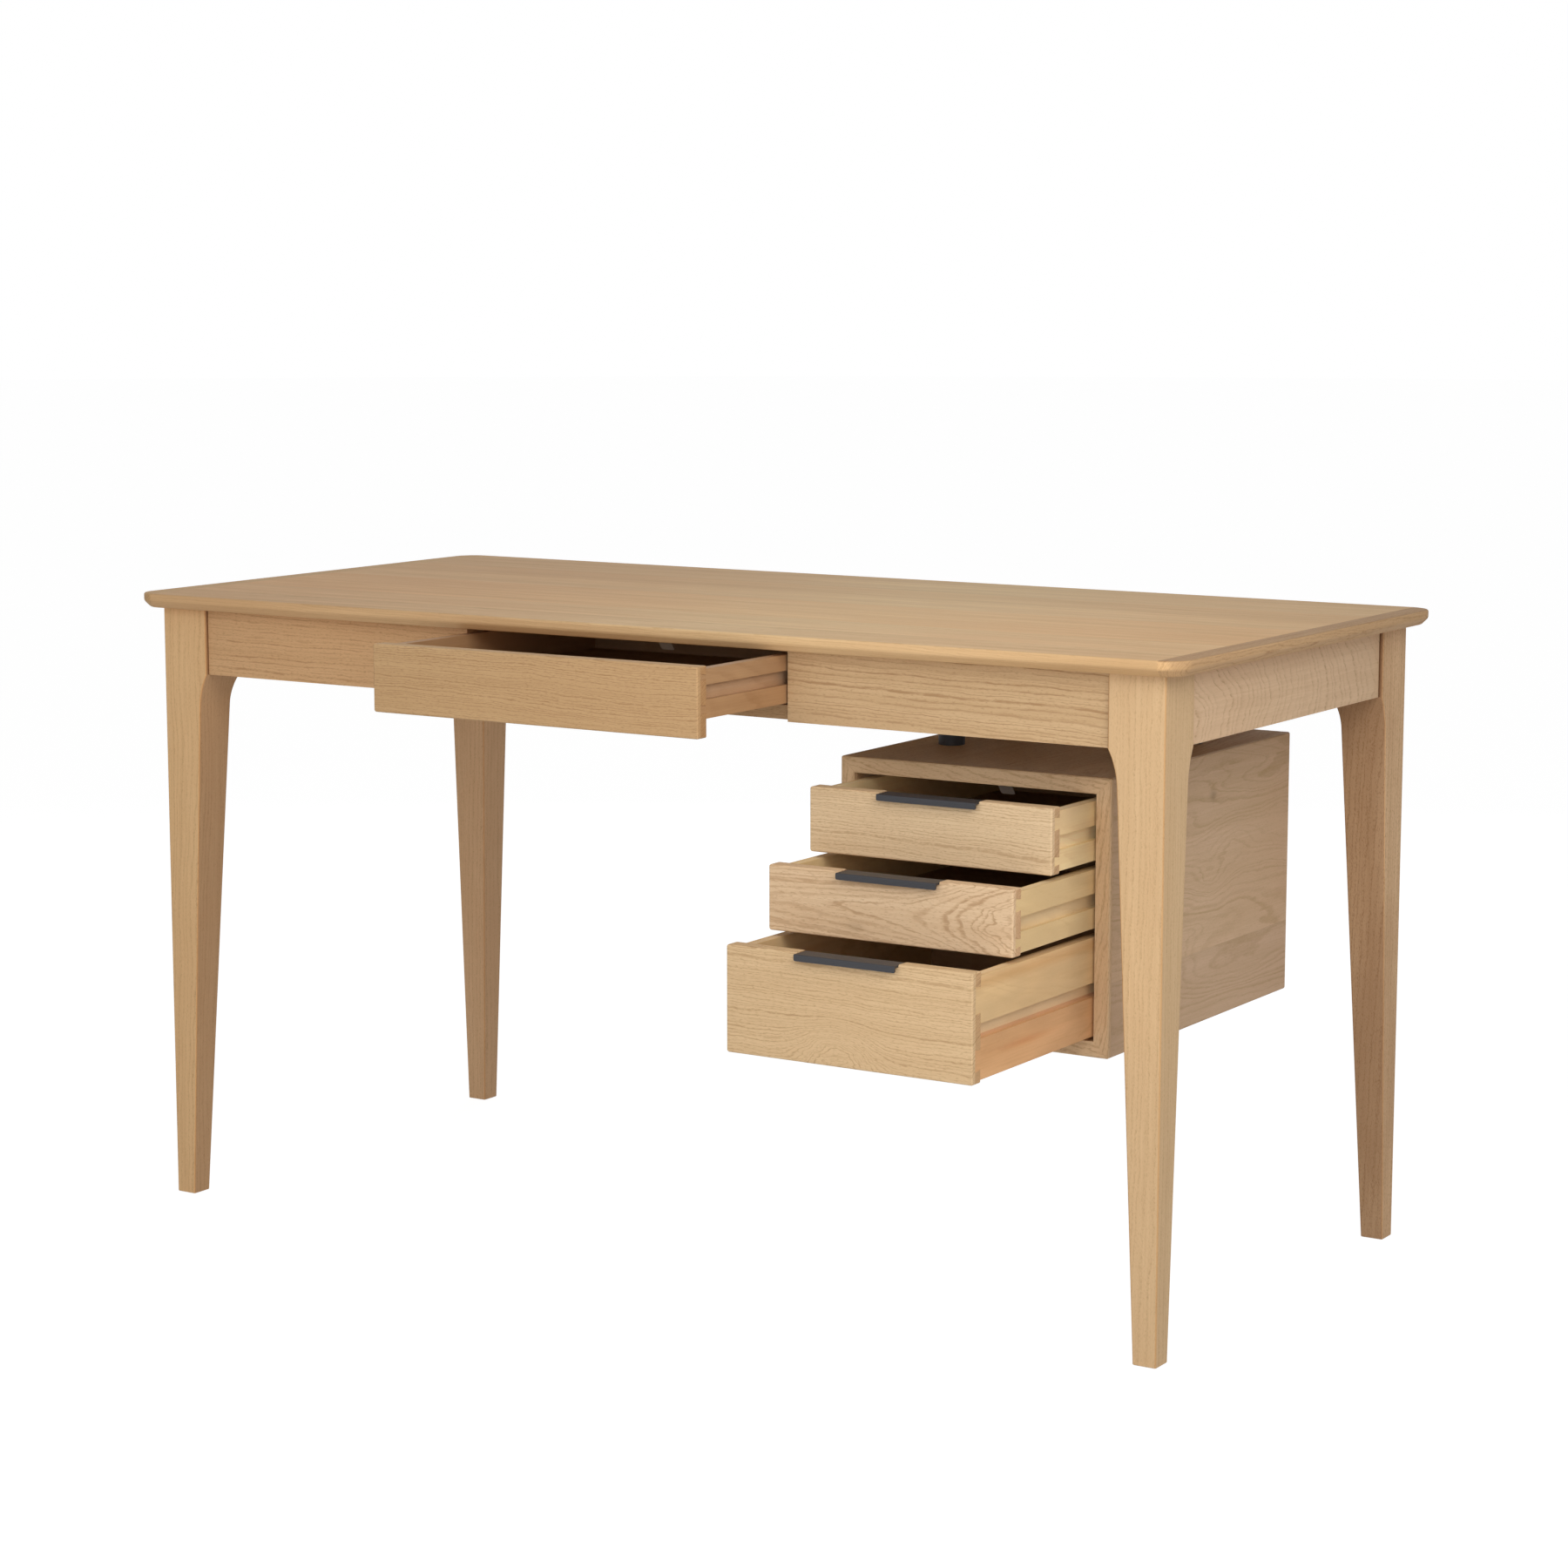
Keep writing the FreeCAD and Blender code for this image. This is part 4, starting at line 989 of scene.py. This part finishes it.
def makeScrew():
    # its head looks along +Z, and the surface that it sits in is z = 0
    look = screwLook
    screw = roundPiece(look["headRadius"], -look["rimHeight"], 0, look["sides"])
    startShaping(screw)
    drawOut(screw, lambda centre, normal: normal.z > 0.9, (0, 0, look["rise"]))
    resizeAbout((0, 0, look["rise"]), look["domeShare"])
    drawOut(screw, lambda centre, normal: normal.z < -0.9, (0, 0, look["rimHeight"] - look["headHeight"]))
    resizeAbout((0, 0, -look["headHeight"]), look["shankRadius"] / look["headRadius"])
    drawOn((0, 0, look["headHeight"] - look["length"]))
    stopShaping()
    reach, half, high = look["crossReach"], look["crossWidth"] / 2, look["rise"] + look["crossOver"]
    for x, y in ((reach, half), (half, reach)):
        carve(screw, "DIFFERENCE", boxPiece("crossCutter", (-x, -y, -look["crossDepth"]), (x, y, high)))
    alone(screw)
    bpy.ops.object.shade_smooth_by_angle(angle=math.radians(30))
    return screw


def placeScrews(name, body, replaced, places):
    # each place is a point on a surface and the way that the head looks
    screws = []
    for number, (point, outward) in enumerate(places):
        angle = number * screwLook["turnEach"]
        turned = Vector((1, 0, 0)).rotation_difference(Vector((math.cos(angle), math.sin(angle), 0)))
        turn = Vector(outward).to_track_quat("Z", "Y") @ turned
        screws.append(copyOf(screwModel))
        screws[-1].matrix_world = Matrix.Translation(Vector(point)) @ turn.to_matrix().to_4x4()
    standFor(joinPieces(screws, name), body, steel, replaced)


def runnerFixings(runners):
    low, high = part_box(runners)
    inset, end = fixingLook["runnerFace"], fixingLook["runnerEnd"]
    sides = ((low.x + inset, 1), (high.x - inset, -1))
    return [((x, y, (low.z + high.z) / 2), (way, 0, 0))
            for x, way in sides for y in (low.y + end, high.y - end)]


def plateFixings(x, y):
    reach = fixingLook["plateCircle"]
    places = []
    for angle in fixingLook["plateAngles"]:
        angle = math.radians(angle)
        places.append(((x + reach * math.cos(angle), y + reach * math.sin(angle), plateUnder), (0, 0, -1)))
    return places


def buttonFixings():
    # two buttons on the front apron, two on the back one and one on each side
    inward = fixingLook["buttonIn"]
    height = postHigh.z - fixingLook["buttonDepth"]
    frontY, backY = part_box("apron_front_left")[1].y + inward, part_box("apron_back")[0].y - inward
    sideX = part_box("apron_right")[0].x - inward
    middleX = (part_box("apron_front_right")[0].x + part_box("leg_front_right")[0].x) / 2
    middleY = (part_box("leg_front_left")[0].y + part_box("leg_back_left")[1].y) / 2
    places = ((-middleX, frontY), (middleX, frontY), (middleX, backY), (-middleX, backY), (sideX, middleY),
              (-sideX, middleY))
    return [((x, y, height), (0, 0, -1)) for x, y in places]


def flapFixing(flap):
    low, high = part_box(flap)
    place = ((low.x + high.x) / 2, low.y + fixingLook["flapBack"], high.z - flapLook["thickness"])
    return place, (0, 0, -1)


screwModel = makeScrew()
for drawer in drawerNames[1:]:
    low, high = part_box(drawer + "_pull_screws")
    radius = screwLook["headRadius"]
    placeScrews(drawer + "_pull_screws_cut", drawer, drawer + "_pull_screws",
                [((x, high.y, (low.z + high.z) / 2), (0, 1, 0)) for x in (low.x + radius, high.x - radius)])
fixings = []
for runners in runnerNames:
    fixings += runnerFixings(runners)
for x, y in postCentres:
    fixings += plateFixings(x, y)
fixings += buttonFixings() + [flapFixing(flap) for flap in stopFlaps]
placeScrews("wood_screws_cut", "desk", "wood_screws", fixings)
bpy.data.objects.remove(screwModel)
print("screws modelled:", len(fixings) + 2 * len(drawerNames[1:]))


# Floor, world, lights and camera

floorLook = {"radius": 30.0, "sides": 64, "glow": 0.93, "shade": 0.22, "bounce": 0.70}
worldLook = {"seen": 1.0, "light": 0.28}


def seenDirectly(tree):
    # 1 for camera, glossy and transmission rays, and 0 for the rays that light the desk
    path = newNode(tree, "LightPath").outputs
    share = calc(tree, "MAXIMUM", path["Is Camera Ray"], path["Is Glossy Ray"])
    return calc(tree, "MAXIMUM", share, path["Is Transmission Ray"])


def matte(tree, grey):
    return newNode(tree, "BsdfDiffuse", (grey,) * 3 + (1.0,)).outputs[0]


def makeFloorMaterial():
    # the camera sees a glowing floor that takes faint shadows, and the desk gets the light of a matte one
    material, tree, shader = newMaterial("pale_floor")
    tree.nodes.remove(shader)
    glow = newNode(tree, "Emission", Strength=floorLook["glow"]).outputs[0]
    both = newNode(tree, "AddShader", glow, matte(tree, floorLook["shade"])).outputs[0]
    either = newNode(tree, "MixShader", seenDirectly(tree), matte(tree, floorLook["bounce"]), both).outputs[0]
    tree.links.new(either, tree.nodes["Material Output"].inputs["Surface"])
    return material


bpy.ops.mesh.primitive_circle_add(vertices=floorLook["sides"], radius=floorLook["radius"], fill_type="NGON")
floor = bpy.context.object
floor.name = "floor"
floor.data.materials.append(makeFloorMaterial())

world = bpy.data.worlds.new("studio")
bpy.context.scene.world = world
world.use_nodes = True
tree = world.node_tree
background = tree.nodes["Background"]
background.inputs["Color"].default_value = (1.0, 1.0, 1.0, 1.0)
tree.links.new(timesPlus(tree, seenDirectly(tree), worldLook["seen"] - worldLook["light"],
                    worldLook["light"]), background.inputs["Strength"])

lamps = {
    "softbox": {"place": (0.0, -1.862, 1.212), "target": (0.15, -0.1, 0.5), "size": 1.5, "power": 8.4},
    "key": {"place": (1.492, -1.040, 1.647), "target": (0.15, -0.1, 0.5), "size": 1.2, "power": 14.0},
    "side": {"place": (2.778, -1.226, 1.124), "target": (0.15, 0.0, 0.5), "size": 1.6, "power": 6.5},
    "back": {"place": (-1.4, 2.7, 1.3), "target": (0.15, 0.0, 0.5), "size": 1.6, "power": 14.0},
    "lowFill": {"place": (1.099, -1.744, 0.566), "target": (0.15, -0.1, 0.5), "size": 0.9, "power": 5.0},
}
for name, look in lamps.items():
    place, target = Vector(look["place"]), Vector(look["target"])
    bpy.ops.object.light_add(type="AREA", location=place)
    lamp = bpy.context.object
    lamp.name = name + "Lamp"
    lamp.data.shape = "DISK"
    lamp.data.size = look["size"]
    lamp.data.energy = look["power"]
    lamp.rotation_euler = (target - place).to_track_quat("-Z", "Y").to_euler()
    lamp.visible_glossy = False
    lamp.visible_camera = False

cameraLook = {"place": (2.2942, -3.4942, 1.1479), "yaw": 32.49, "pitch": 8.36, "lens": 82.95,
              "sensor": 36.0}
bpy.ops.object.camera_add(location=cameraLook["place"])
camera = bpy.context.object
camera.rotation_euler = (math.radians(90 - cameraLook["pitch"]), 0, math.radians(cameraLook["yaw"]))
camera.data.sensor_width = cameraLook["sensor"]
camera.data.lens = cameraLook["lens"]
bpy.context.scene.camera = camera
bpy.context.scene.view_settings.view_transform = "Standard"
print("stage set")
